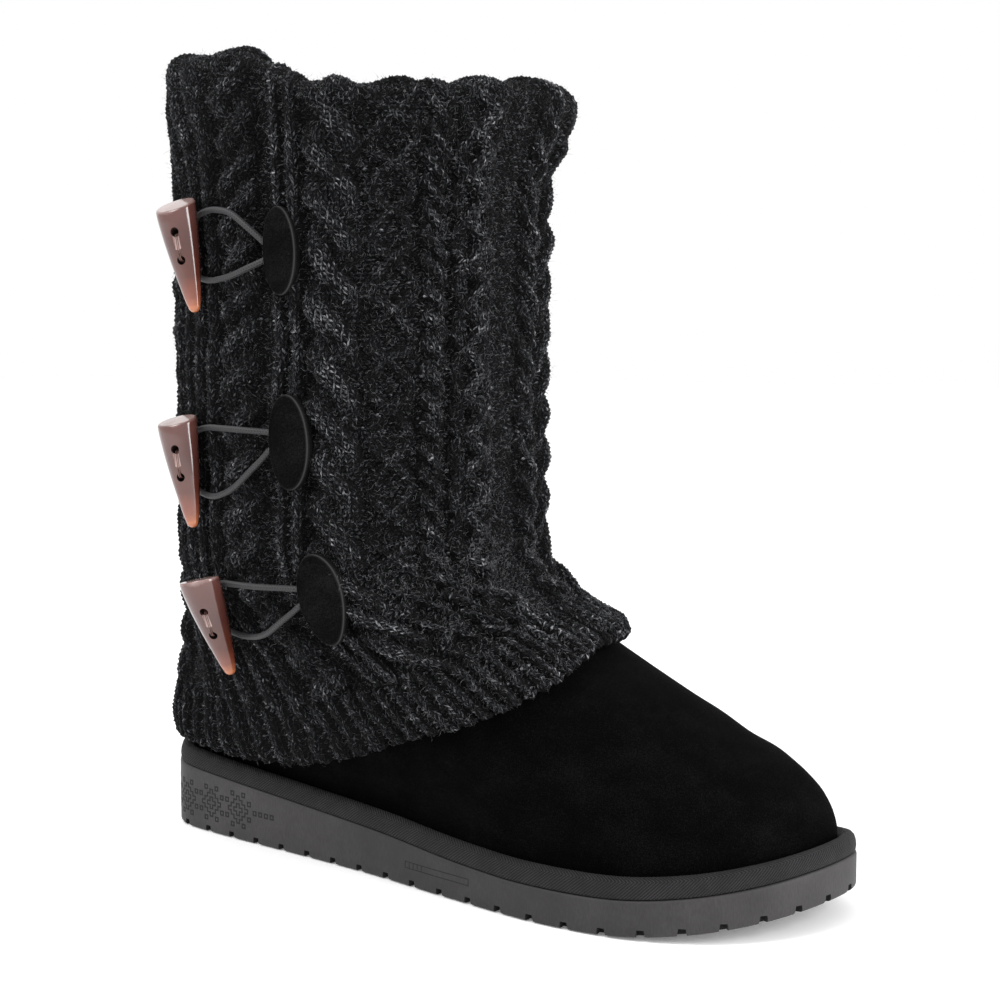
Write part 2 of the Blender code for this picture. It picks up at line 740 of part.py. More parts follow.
def make_toggle(name, x, height, lean, cord):
    """Horn: wide flat top, tapered body that bends in to a blunt tip, two sewing holes."""
    frame = side_frame(x, height)
    base, ahead, out, climb = frame
    centre = base + out * toggle_stand(frame, lean, cord)
    centre.x -= HEEL_CENTRE
    turn = Matrix((ahead, -out, climb)).transposed().to_4x4()
    matrix = Matrix.Translation(centre) @ turn @ Matrix.Rotation(math.radians(lean), 4, "Y")
    sides = 12
    bm = bmesh.new()
    loops = []
    for down, *_ in TOGGLE_SECTION:
        loop = []
        half_width, half_thick, bend = toggle_girth(down)
        z = TOGGLE_LENGTH * (0.5 - down)
        for i in range(sides):
            a = math.tau * i / sides
            loop.append(bm.verts.new((half_width * math.cos(a), half_thick * math.sin(a) + bend, z)))
        loops.append(loop)
    for upper, lower in zip(loops, loops[1:]):
        for i in range(sides):
            j = (i + 1) % sides
            bm.faces.new((upper[i], upper[j], lower[j], lower[i]))
    bm.faces.new(loops[0])
    bm.faces.new(loops[-1])
    toggle = make_object(name, finish_mesh(name, bm), matrix)
    drill = bmesh.new()
    for place in (0.5, -0.5):
        hole = Matrix.Translation((0.0, 0.0, TOGGLE_LENGTH * 0.09 + TOGGLE_HOLE_PITCH * place))
        bmesh.ops.create_cone(
            drill, cap_ends=True, segments=8, radius1=TOGGLE_HOLE / 2, radius2=TOGGLE_HOLE / 2,
            depth=TOGGLE_WIDTH * 2, matrix=hole @ Matrix.Rotation(math.pi / 2, 4, "X"),
        )
    cutter = make_object(name + "_drill", finish_mesh(name + "_drill", drill), matrix)
    cutter.hide_render = True
    cutter.display_type = "WIRE"
    cut(toggle, cutter)
    give_material(toggle, "horn_resin", (0.26, 0.085, 0.050), 0.16)


def loop_route(toggle_x, toggle_height, edge_x, patch_height, strands):
    """Points of one elastic loop as (step, place along the foot, height)."""
    middle = toggle_height + TOGGLE_LENGTH * LOOP_MIDDLE
    points = []
    for step, (reach, strand, rise) in enumerate(LOOP_ROUTE):
        end = patch_height + strand * LOOP_END_SPREAD / 2
        start = middle + strand * TOGGLE_LENGTH * strands / 2
        if reach < 0.0:
            height = mix(middle, start, rise)
        else:
            height = mix(end, start, rise)
        points.append((step, mix(toggle_x, edge_x, reach), height))
    return points


def loop_cord(route, per_step):
    """Middle line of a loop, lying on the knit and over the ropes that it crosses."""
    points = []
    for i in range((len(route) - 1) * per_step + 1):
        x, height = (smooth(route, i / per_step, column) for column in (1, 2))
        angle = side_point(x, height)[1]
        stand = 2 * GAP + LOOP_CORD / 2 + knit_stand(angle, ROPE_REACH)
        points.append(side_point(x, height, stand)[0])
    return points


def make_loop(name, points):
    curve = bpy.data.curves.new(name, "CURVE")
    curve.dimensions = "3D"
    spline = curve.splines.new("POLY")
    spline.points.add(len(points) - 1)
    for place, point in zip(spline.points, points):
        place.co = (point.x - HEEL_CENTRE, point.y, point.z, 1.0)
    curve.bevel_depth = LOOP_CORD / 2
    curve.bevel_resolution = 2
    curve.use_fill_caps = True
    loop = make_object(name, curve)
    give_material(loop, "elastic_cord", (0.030, 0.030, 0.032), 0.60)


def patch_edge(x, turn):
    """Place along the foot of the patch's rear edge, where the loop's two ends meet it."""
    tilt = math.radians(turn)
    half_width, half_length = PATCH_WIDTH / 2, PATCH_LENGTH / 2
    furthest = 0.0
    for rise in (-LOOP_END_SPREAD / 2, LOOP_END_SPREAD / 2):
        a = (math.cos(tilt) / half_width) ** 2 + (math.sin(tilt) / half_length) ** 2
        b = 2 * rise * math.sin(tilt) * math.cos(tilt) * (1 / half_width**2 - 1 / half_length**2)
        c = (rise * math.sin(tilt) / half_width) ** 2 + (rise * math.cos(tilt) / half_length) ** 2 - 1
        furthest = min(furthest, (-b - math.sqrt(b * b - 4 * a * c)) / (2 * a))
    return x + furthest - LOOP_END_GAP


def make_patch(name, x, height, turn):
    """Oval of suede bent to the leg, standing just clear of the ropes beneath it."""
    sides = 18
    angle = side_point(x, height)[1]
    stand = knit_stand(angle, PATCH_WIDTH / SHAFT_DEPTH + ROPE_REACH) + GAP * 2
    tilt = math.radians(turn)

    def ring(size, lift):
        points = []
        for i in range(sides):
            a = math.tau * i / sides
            across = PATCH_WIDTH / 2 * math.cos(a) * size
            up = PATCH_LENGTH / 2 * math.sin(a) * size
            side = across * math.cos(tilt) - up * math.sin(tilt)
            rise = across * math.sin(tilt) + up * math.cos(tilt)
            points.append(side_point(x + side, height + rise, stand + lift)[0])
        return points

    rings = [ring(1.0, 0.0), ring(1.0, PATCH_THICKNESS * 0.6), ring(0.94, PATCH_THICKNESS)]
    patch = loft(name, rings, closed_tube=False)
    give_material(patch, "black_suede", (0.012, 0.012, 0.013), 0.95)


def main():
    for thing in list(bpy.data.objects):
        bpy.data.objects.remove(thing, do_unlink=True)
    make_outsole()
    make_band()
    make_insole()
    make_upper()
    make_knit()
    shaft_back = SHAFT_CENTRE - SHAFT_DEPTH / 2
    for number, row in enumerate(TOGGLE_SETS, start=1):
        toggle_along, toggle_share, lean, patch_along, patch_share, turn, strands = row
        toggle_x, patch_x = shaft_back + SHAFT_DEPTH * toggle_along, shaft_back + SHAFT_DEPTH * patch_along
        toggle_height, patch_height = toggle_share * BOOT_HEIGHT, patch_share * BOOT_HEIGHT
        make_patch(f"loop_patch_{number}", patch_x, patch_height, turn)
        route = loop_route(toggle_x, toggle_height, patch_edge(patch_x, turn), patch_height, strands)
        cord = loop_cord(route, POINTS_PER_STEP)
        make_loop(f"elastic_loop_{number}", cord)
        make_toggle(f"toggle_{number}", toggle_x, toggle_height, lean, cord)


main()
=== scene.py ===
"""Looks of the mukluk boot: cabled knit, black suede, moulded sole, horn toggles, elastic loops.

Metres, +Z up, +X towards the toe, +Y towards the inner side of the foot. What goes round the
foot is walked by one angle: 0 at the back of the heel, a quarter turn on the outer side, half
a turn at the toe. Lengths along the foot are counted from the back of the sole, and are moved
to the frame's origin when a mesh is made.
"""

import math

import bpy
import numpy as np
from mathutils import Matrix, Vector

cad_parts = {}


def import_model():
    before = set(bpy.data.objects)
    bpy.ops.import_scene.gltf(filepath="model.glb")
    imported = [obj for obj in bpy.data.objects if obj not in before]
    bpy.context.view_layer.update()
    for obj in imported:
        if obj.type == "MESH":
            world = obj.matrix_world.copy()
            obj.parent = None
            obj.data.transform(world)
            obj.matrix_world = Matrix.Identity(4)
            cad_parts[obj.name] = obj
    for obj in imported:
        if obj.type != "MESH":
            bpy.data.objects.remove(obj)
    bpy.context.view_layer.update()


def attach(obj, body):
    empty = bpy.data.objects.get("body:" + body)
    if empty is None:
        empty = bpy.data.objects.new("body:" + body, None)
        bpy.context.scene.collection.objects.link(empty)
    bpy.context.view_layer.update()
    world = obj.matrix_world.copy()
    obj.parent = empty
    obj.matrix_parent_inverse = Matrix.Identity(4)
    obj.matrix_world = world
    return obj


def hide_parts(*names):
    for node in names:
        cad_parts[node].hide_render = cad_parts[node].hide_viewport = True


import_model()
bpy.ops.object.select_all(action="DESELECT")

MM = 0.001
TURN = math.tau

# Camera, as it stood to the boot
CAMERA_PLACE = (0.4676, -0.5012, 0.1912)
CAMERA_TARGET = (0.094, 0.0, 0.140)
CAMERA_LENS = 61.69
CAMERA_SHIFT = (0.0364, -0.0216)

# Sole
SOLE_LENGTH = 0.276
BALL_WIDTH = 0.0977
HEEL_SOLE = 0.0260
BALL_SOLE = 0.0121
TOE_SPRING = 0.0094
TOE_SPRING_START = 0.75
HEEL_CENTRE = 0.036
NOTCH_PITCH = 0.01315
NOTCH_FIRST = 0.0044
NOTCH_WIDTH = 0.0024
NOTCH_DEPTH = 0.0034
NOTCH_HEIGHT = 0.0021
GROOVE_WIDTH = 0.0024
GROOVE_DEPTH = 0.0018
GROOVE_RIM = 0.0090
WAIST_POCKET_DEPTH = 0.0020
SOLE_ROUNDING = 0.0012      # radius of the sole's edges
MOTIF_CELL = 0.00150        # one square of the motif's chart
MOTIF_LINE = 0.00052        # width of the motif's lines
MOTIF_FOOT = 0.0050         # lower edge of the motif above the floor
ARCH_LINE = 0.00026         # width of the lines beside the arch

# Band, upper and insole
BAND_HEIGHT = 0.0065
BAND_WALL = 0.0062
UPPER_WALL = 0.0030
INSTEP_HEIGHT = 0.120
SHAFT_DEPTH = 0.137
SHAFT_WIDTH = 0.114
SHAFT_CENTRE = 0.0802
INSOLE_THICKNESS = 0.005
INSOLE_CLEARANCE = 0.0016
GAP = 0.0003

# Knitted cover
BOOT_HEIGHT = 0.2945
KNIT_WALL = 0.0040
KNIT_CLEARANCE = 0.0014
ROPE_HEIGHT = 0.0020
FOLD_DEPTH = 0.030
HEM_FLARE = 0.0020
COLLAR_FLARE = 0.0048
ROPE_RISE = 0.0024          # height of a rope over the face stitches, times its share
WALE_DEGREES = 1.875        # width of one stitch round the leg, about 2 mm
STITCH_ROW = 0.0016         # height of one row of stitches
LEG_LENGTH = 0.0031         # length of one leg of a stitch
LEG_WIDTH = 0.00115
LEG_HEIGHT = 0.00058
LEG_FIRST = -0.016          # first row of stitches, inside the collar
FIBRES = 11000              # loose fibres on each width of the knit
GROUND_DEPTH = 0.0029       # how far the purl ground lies below the face stitches
RIB_HEIGHT = 0.0010         # how far the ribs stand over the face stitches
FOLD_RELIEF = 0.6           # how much of the columns' relief is left where the knit folds over
COLLAR_SLANT = 18.0         # degrees that the ribs lean forwards under the collar's outer side
HEM_BAND = 0.0225           # height of the ribbed hem
HEM_RIB_DEGREES = 5.0       # pitch of the hem's ribs

# Toggles, loops and patches
TOGGLE_LENGTH = 0.039
TOGGLE_WIDTH = 0.0148
TOGGLE_THICKNESS = 0.0118
TOGGLE_TIP = 0.0030
TOGGLE_HOLE = 0.0031
TOGGLE_HOLE_PITCH = 0.0100
TOGGLE_HOLES_UP = 0.09      # middle of the holes above the toggle's middle, a share of its length
LOOP_CORD = 0.0022
LOOP_END_SPREAD = 0.0065
LOOP_END_GAP = 0.0007
LOOP_MIDDLE = 0.11
PATCH_LENGTH = 0.034
PATCH_WIDTH = 0.0170
PATCH_STITCHES = 34
STITCH_RADIUS = 0.00026
THREAD_RADIUS = 0.00020     # of each strand that sews a toggle on
TOGGLE_GROOVE = 0.0003      # depth of the groove between the sewing holes
ROPE_REACH = 0.08           # turn to each side in which a rope lifts what lies on it
PATCH_SINK = 0.0010         # how far the patches press into the knit
PATCH_SHAPES = ((0.72, 0.90), (0.86, 0.98), (0.95, 0.96))   # shares of width and length
TOGGLE_ROLL = 36.0          # degrees that the sewn toggles roll forwards
TOGGLE_CUTS = (0.62, 0.42, -0.22)   # slope of each sawn top, lower in front

OUTLINE = (
    # along, lateral, medial
    (0.000, 0.000, 0.000),
    (0.020, 0.229, 0.203),
    (0.080, 0.367, 0.333),
    (0.180, 0.390, 0.373),
    (0.300, 0.400, 0.362),
    (0.430, 0.420, 0.367),
    (0.560, 0.462, 0.429),
    (0.700, 0.492, 0.503),
    (0.800, 0.466, 0.510),
    (0.890, 0.367, 0.480),
    (0.955, 0.201, 0.390),
    (0.985, 0.042, 0.311),
    (1.000, -0.170, 0.170),
)
SOLE_TOP = (
    # along, thickness
    (0.00, 1.00),
    (0.22, 0.65),
    (0.34, 0.46),
    (0.47, 0.27),
    (0.60, 0.06),
    (0.68, 0.00),
    (1.00, 0.00),
)
FOOT_RINGS = (
    # level, toe, heel, width, oval at heel, oval at toe
    (0.000, 1.000, 1.00, 1.000, 0.00, 0.00),
    (0.075, 1.000, 1.00, 1.000, 0.00, 0.00),
    (0.130, 0.988, 1.15, 1.020, 0.10, 0.00),
    (0.195, 0.960, 1.26, 1.025, 0.26, 0.00),
    (0.260, 0.916, 1.24, 1.005, 0.42, 0.02),
    (0.330, 0.848, 1.16, 0.960, 0.56, 0.05),
    (0.400, 0.750, 1.00, 0.905, 0.68, 0.10),
    (0.500, 0.590, 0.68, 0.830, 0.82, 0.24),
    (0.600, 0.418, 0.36, 0.760, 0.91, 0.45),
    (0.670, 0.292, 0.18, 0.730, 0.95, 0.62),
    (0.750, 0.158, 0.07, 0.710, 0.98, 0.80),
    (0.830, 0.067, 0.02, 0.700, 0.99, 0.92),
    (0.920, 0.015, 0.00, 0.700, 1.00, 0.98),
    (1.000, 0.000, 0.00, 0.700, 1.00, 1.00),
)
SHAFT_RINGS = (
    # rise, depth, width
    (0.00, 1.000, 1.000),
    (0.30, 0.992, 1.000),
    (0.60, 1.000, 1.000),
    (0.85, 1.008, 1.005),
    (1.00, 1.016, 1.010),
)
COLLAR = (
    # degrees, height
    (0, 0.996),
    (40, 1.000),
    (68, 0.996),
    (96, 0.980),
    (112, 0.950),
    (145, 0.947),
    (180, 0.956),
    (215, 0.958),
    (270, 0.966),
    (325, 0.985),
    (360, 0.996),
)
COLLAR_SWELL = (
    # degrees, swell
    (0, 0.4),
    (45, 0.3),
    (90, 0.5),
    (130, 1.0),
    (165, 1.5),
    (195, 2.1),
    (225, 1.6),
    (270, 0.9),
    (330, 0.5),
    (360, 0.4),
)
HEM = (
    # share of the way to the toe, lateral, medial
    (0.00, 0.130, 0.130),
    (0.10, 0.130, 0.130),
    (0.20, 0.143, 0.145),
    (0.30, 0.182, 0.186),
    (0.39, 0.240, 0.250),
    (0.48, 0.312, 0.332),
    (0.60, 0.400, 0.440),
    (0.74, 0.475, 0.545),
    (0.92, 0.580, 0.650),
    (1.00, 0.648, 0.648),
)
ROPES = (
    # middle, half width, height
    (26, 9, 0.9),
    (87.5, 7.5, 0.8),
    (118, 8, 1.2),
    (149, 5, 0.7),
    (161, 8, 1.0),
    (187, 6, 0.8),
    (206, 8, 1.0),
    (240, 8, 1.2),
    (272.5, 7.5, 0.8),
    (302, 6, 0.7),
    (334, 9, 0.9),
)
KNIT_ROWS = (
    # way, hem, collar, wall
    (0.00, 1.0, 0.00, 0.80),
    (0.05, 1.0, 0.00, 1.05),
    (0.22, 0.6, 0.00, 1.00),
    (0.40, 0.2, 0.00, 0.98),
    (0.52, 0.1, 0.00, 1.00),
    (1.00, 0.0, 0.00, 1.00),
    (1.78, 0.0, 0.05, 1.00),
    (1.87, 0.0, 0.40, 1.00),
    (1.94, 0.0, 0.90, 1.00),
    (2.00, 0.0, 1.00, 1.00),
)
TOGGLE_SETS = (
    # toggle along, toggle height, lean, patch along, patch height, turn, strands
    (0.350, 0.746, -15.0, 0.645, 0.751, 2.0, 0.64),
    (0.335, 0.484, -12.0, 0.657, 0.527, 3.0, 0.64),
    (0.405, 0.303, -2.0, 0.738, 0.342, 14.0, 0.52),
)
TOGGLE_SECTION = (
    # down, width, bend
    (0.00, 0.93, 0.00),
    (0.02, 1.00, 0.00),
    (0.25, 0.91, 0.05),
    (0.50, 0.74, 0.13),
    (0.75, 0.52, 0.22),
    (0.92, 0.34, 0.27),
    (1.00, 0.14, 0.29),
)
LOOP_ROUTE = (
    # reach, strand, rise
    (1.00, 1, 0.00),
    (0.80, 1, 0.45),
    (0.50, 1, 0.92),
    (0.18, 1, 1.00),
    (-0.12, 1, 0.85),
    (-0.24, 1, 0.35),
    (-0.24, -1, 0.35),
    (-0.12, -1, 0.85),
    (0.18, -1, 1.00),
    (0.50, -1, 0.85),
    (0.80, -1, 0.40),
    (1.00, -1, 0.00),
)

# Strands of each kind of cable: how many, how far they swing to each side, and half the width
# of one, both as shares of half the column's width
STRANDS = {"rope": (2, 0.52, 0.52), "plait": (3, 0.62, 0.40), "lattice": (2, 0.74, 0.30)}

# Columns of the knit round the leg. Pitch is the height of a whole turn in millimetres for a
# cable, and a width in degrees for ribs. Hand is the way that a rope twists.
KNIT_COLUMNS = (
    # from, to, kind, pitch, hand
    (0.0, 17.0, "ribs", 5.6, 1),
    (17.0, 35.0, "rope", 34.0, 1),
    (35.0, 42.5, "purl", 0.0, 1),
    (42.5, 79.5, "ribs", 7.4, 1),
    (79.5, 95.5, "rope", 30.0, -1),
    (95.5, 99.5, "purl", 0.0, 1),
    (99.5, 109.5, "ribs", 5.0, 1),
    (109.5, 126.5, "rope", 36.0, 1),
    (126.5, 143.5, "lattice", 34.0, 1),
    (143.5, 152.5, "rope", 18.0, 1),
    (152.5, 170.0, "plait", 44.0, 1),
    (170.0, 180.5, "purl", 0.0, 1),
    (180.5, 193.5, "rope", 24.0, 1),
    (193.5, 198.0, "purl", 0.0, 1),
    (198.0, 214.0, "rope", 32.0, -1),
    (214.0, 231.5, "lattice", 34.0, 1),
    (231.5, 248.5, "rope", 36.0, -1),
    (248.5, 264.5, "ribs", 5.33, 1),
    (264.5, 280.5, "plait", 44.0, 1),
    (280.5, 295.5, "ribs", 5.0, 1),
    (295.5, 308.5, "rope", 24.0, -1),
    (308.5, 324.5, "ribs", 5.33, 1),
    (324.5, 343.5, "rope", 34.0, -1),
    (343.5, 360.0, "ribs", 5.5, 1),
)

# The knit is made in four widths that meet in the troughs between columns
KNIT_WIDTHS = (0.0, 97.5, 175.0, 257.0, 360.0)
KNIT_ACROSS = 96            # faces across one width
LIP_ROWS = 24
FOLD_ROWS = 22
WALL_ROWS = 260
EDGE_ROWS = 6
BACK_ROWS = 10

# Troughs and folds of the knit: middle in degrees, height, half length, half
# width in degrees, depth, and how far the trough wanders in degrees from its top to its foot
KNIT_TROUGHS = (
    # degrees, height, half length, half width, depth, wander
    (97.0, 0.246, 0.040, 2.6, 0.0024, 3.0),
    (151.5, 0.165, 0.036, 1.6, 0.0020, -1.0),
    (172.0, 0.250, 0.032, 2.2, 0.0014, 1.0),
    (131.0, 0.118, 0.030, 2.8, 0.0016, 5.0),
    (44.0, 0.160, 0.060, 2.2, 0.0014, 0.0),
    (78.0, 0.100, 0.030, 2.4, 0.0016, 4.0),
    (214.0, 0.200, 0.050, 2.4, 0.0014, -2.0),
    (263.0, 0.150, 0.050, 2.4, 0.0014, 2.0),
)

# Fine lines moulded beside the arch, in millimetres: an empty bar's outline and a short hatch
ARCH_LINES = (
    # from and to along the sole's edge, from and to above the floor
    (160.0, 190.0, 6.6, 6.6),
    (160.0, 190.0, 8.8, 8.8),
    (160.0, 160.0, 6.6, 8.8),
    (190.0, 190.0, 6.6, 8.8),
    (162.0, 162.0, 6.6, 8.8),
    (164.0, 164.0, 6.6, 8.8),
    (166.0, 166.0, 6.6, 8.8),
    (168.0, 168.0, 6.6, 8.8),
)

# Soft creases of the suede: middle and half length in degrees, level, half width, depth
SUEDE_CREASES = (
    # degrees, half length, level, half width, depth
    (132, 26, 0.30, 0.050, 0.0006),
    (164, 20, 0.470, 0.035, 0.0007),
    (205, 24, 0.40, 0.045, 0.0006),
    (84, 22, 0.14, 0.025, 0.0004),
)


def curve(rows, column=1):
    """A table's column as a function of its places, on a curve that never overshoots its rows."""
    places = np.array([row[0] for row in rows], float)
    values = np.array([row[column] for row in rows], float)
    secant = np.diff(values) / np.diff(places)
    slope = np.concatenate([secant[:1], np.zeros(len(rows) - 2), secant[-1:]])
    before, after = secant[:-1], secant[1:]
    keeps_on = before * after > 0
    total = np.where(keeps_on, before + after, 1.0)
    slope[1:-1] = np.where(keeps_on, 2 * before * after / total, 0.0)

    def at(where):
        where = np.clip(np.asarray(where, float), places[0], places[-1])
        k = np.clip(np.searchsorted(places, where) - 1, 0, len(places) - 2)
        step = places[k + 1] - places[k]
        t = (where - places[k]) / step
        return (
            values[k] * (2 * t**3 - 3 * t**2 + 1)
            + slope[k] * step * (t**3 - 2 * t**2 + t)
            + values[k + 1] * (3 * t**2 - 2 * t**3)
            + slope[k + 1] * step * (t**3 - t**2)
        )

    return at


def outline_rows():
    lateral = [(math.acos(1 - 2 * along), -side * BALL_WIDTH) for along, side, _ in OUTLINE]
    medial = [(TURN - math.acos(1 - 2 * along), side * BALL_WIDTH) for along, _, side in OUTLINE]
    turn = lateral + medial[-2::-1]
    return [(turn[-2][0] - TURN, turn[-2][1])] + turn + [(turn[1][0] + TURN, turn[1][1])]


sideways = curve(outline_rows())
wedge = curve(SOLE_TOP)
foot_ring = [curve(FOOT_RINGS, column) for column in range(1, 6)]
shaft_depth_at, shaft_width_at = curve(SHAFT_RINGS, 1), curve(SHAFT_RINGS, 2)
collar_at, swell_at = curve(COLLAR), curve(COLLAR_SWELL)
hem_lateral, hem_medial = curve(HEM, 1), curve(HEM, 2)
knit_hem, knit_collar, knit_wall = (curve(KNIT_ROWS, column) for column in (1, 2, 3))
toggle_width_at, toggle_bend_at = curve(TOGGLE_SECTION, 1), curve(TOGGLE_SECTION, 2)


def points(x, y, z):
    return np.stack(np.broadcast_arrays(x, y, z), axis=-1)


def unit(vectors):
    return vectors / np.linalg.norm(vectors, axis=-1, keepdims=True)


def mix(a, b, share):
    return a + (b - a) * share


def ease(share):
    share = np.clip(share, 0.0, 1.0)
    return share * share * (3 - 2 * share)


def outline(angle):
    angle = np.asarray(angle, float)
    return points(SOLE_LENGTH * (1 - np.cos(angle)) / 2, sideways(angle % TURN), 0.0)


def inward(angle):
    nudge = 0.01
    along = outline(angle + nudge) - outline(angle - nudge)
    return unit(points(-along[..., 1], along[..., 0], 0.0))


def inset(angle, distance):
    return outline(angle) + inward(angle) * np.asarray(distance)[..., None]


def floor_lift(x):
    share = (x / SOLE_LENGTH - TOE_SPRING_START) / (1 - TOE_SPRING_START)
    return TOE_SPRING * np.clip(share, 0.0, None) ** 2


def sole_top(x):
    return floor_lift(x) + mix(BALL_SOLE, HEEL_SOLE, wedge(x / SOLE_LENGTH))


def rim_height(angle):
    return collar_at(np.degrees(angle) % 360) * BOOT_HEIGHT - KNIT_WALL - KNIT_CLEARANCE


def upper_point(angle, level):
    """Outer face of the suede: level 0 on the sole, 1 at the instep, 2 at the shaft's rim."""
    angle, level = np.broadcast_arrays(np.asarray(angle, float), np.asarray(level, float))
    oval_x = SHAFT_CENTRE - SHAFT_DEPTH / 2 * np.cos(angle)
    oval_y = -SHAFT_WIDTH / 2 * np.sin(angle)
    rise = np.clip(level - 1.0, 0.0, 1.0)
    shaft_x = SHAFT_CENTRE + (oval_x - SHAFT_CENTRE) * shaft_depth_at(rise)
    shaft = points(
        shaft_x, oval_y * shaft_width_at(rise), mix(INSTEP_HEIGHT, rim_height(angle), rise)
    )
    toe, heel, width, oval_heel, oval_toe = (ring(level) for ring in foot_ring)
    edge_inset = BAND_WALL + GAP
    edge = inset(angle, edge_inset)
    back_edge, toe_edge = edge_inset, SOLE_LENGTH - edge_inset
    back = mix(SHAFT_CENTRE - SHAFT_DEPTH / 2, back_edge, heel)
    front = mix(SHAFT_CENTRE + SHAFT_DEPTH / 2, toe_edge, toe)
    x = mix(back, front, (edge[..., 0] - back_edge) / (toe_edge - back_edge))
    forward = (1 - np.cos(angle)) / 2
    oval = mix(oval_heel, oval_toe, forward)
    x = mix(x, mix(back, front, forward), oval)
    y = mix(edge[..., 1] * width, oval_y, oval)
    foot = points(x, y, mix(sole_top(x) + GAP, INSTEP_HEIGHT, np.clip(level, 0.0, 1.0)))
    return np.where((level >= 1.0)[..., None], shaft, foot)


def upper_outward(angle, level):
    nudge = 0.02
    low, high = np.clip(level - nudge, 0.0, None), np.clip(level + nudge, None, 2.0)
    up = upper_point(angle, high) - upper_point(angle, low)
    along = upper_point(angle + nudge, level) - upper_point(angle - nudge, level)
    out = np.cross(along, up)
    out[..., 2] *= np.clip(np.broadcast_to(level, out.shape[:-1]) / 0.15, 0.0, 1.0)
    return unit(out)


def off_upper(angle, level, distance):
    angle, level = np.asarray(angle, float), np.asarray(level, float)
    distance = np.asarray(distance, float)
    return upper_point(angle, level) + upper_outward(angle, level) * distance[..., None]


def hem_level(angle):
    forward = (1 - np.cos(angle)) / 2
    outer_side = angle % TURN < math.pi
    return np.where(outer_side, hem_lateral(forward), hem_medial(forward))


def knit_level(angle, way):
    return np.where(way < 1.0, mix(hem_level(angle), 1.0, way), way)


def knit_offset(angle, way):
    """Distance from the suede to the outside of the knit, without its columns."""
    swell = swell_at(np.degrees(angle) % 360)
    return (
        KNIT_CLEARANCE
        + KNIT_WALL * knit_wall(way)
        + HEM_FLARE * knit_hem(way)
        + COLLAR_FLARE * swell * knit_collar(way)
    )


def rope_relief(angle):
    degrees = math.degrees(angle) % 360
    relief = 0.0
    for middle, half, height in ROPES:
        apart = abs((degrees - middle + 180) % 360 - 180)
        if apart < half:
            relief += height * math.cos(math.pi / 2 * apart / half) ** 2
    return relief


def knit_stand(angle, reach):
    return ROPE_HEIGHT * max(rope_relief(angle + reach * k / 6) for k in range(-6, 7))


def side_point(x, height, stand=0.0):
    """Points on the outer side of the knit at places along the foot and heights, with angles."""
    x, height = np.broadcast_arrays(np.asarray(x, float), np.asarray(height, float))
    angle, level = np.full(x.shape, math.pi / 2), np.ones(x.shape)
    off = np.full(x.shape, KNIT_CLEARANCE + KNIT_WALL + stand)
    for _ in range(24):
        found = off_upper(angle, level, off)
        above = level >= 1.0
        rise = np.where(above, rim_height(angle) - INSTEP_HEIGHT, INSTEP_HEIGHT - BALL_SOLE)
        angle = np.clip(angle + (x - found[..., 0]) / SHAFT_DEPTH, 0.2, math.pi - 0.2)
        level = level + (height - found[..., 2]) / rise * 0.8
        level = np.minimum(np.maximum(level, hem_level(angle)), 2.0)
    return off_upper(angle, level, off), angle


def value_noise(across, along, seed, repeat=0):
    """Smooth random heights from -1 to 1 on a grid of whole numbers, repeating across."""
    table = np.random.default_rng(seed).uniform(-1, 1, (512, 512))
    i, j = np.floor(across).astype(int), np.floor(along).astype(int)
    s, t = ease(across - i), ease(along - j)
    wrap = repeat or 512
    left, right = i % wrap, (i + 1) % wrap
    low, high = j % 512, (j + 1) % 512
    bottom = mix(table[left, low], table[right, low], s)
    top = mix(table[left, high], table[right, high], s)
    return mix(bottom, top, t)


# Mesh helpers: a primitive is added, shaped and finished with operators


def active(thing):
    bpy.ops.object.select_all(action="DESELECT")
    thing.select_set(True)
    bpy.context.view_layer.objects.active = thing


def edit(thing, *steps):
    """Runs edit mode operators on the whole of a piece."""
    active(thing)
    bpy.ops.object.mode_set(mode="EDIT")
    bpy.ops.mesh.select_all(action="SELECT")
    for step, settings in steps:
        step(**settings)
    bpy.ops.object.mode_set(mode="OBJECT")


def apply_modifier(thing, kind, **settings):
    active(thing)
    modifier = thing.modifiers.new(kind.lower(), kind)
    for name, value in settings.items():
        setattr(modifier, name, value)
    bpy.ops.object.modifier_apply(modifier=modifier.name)


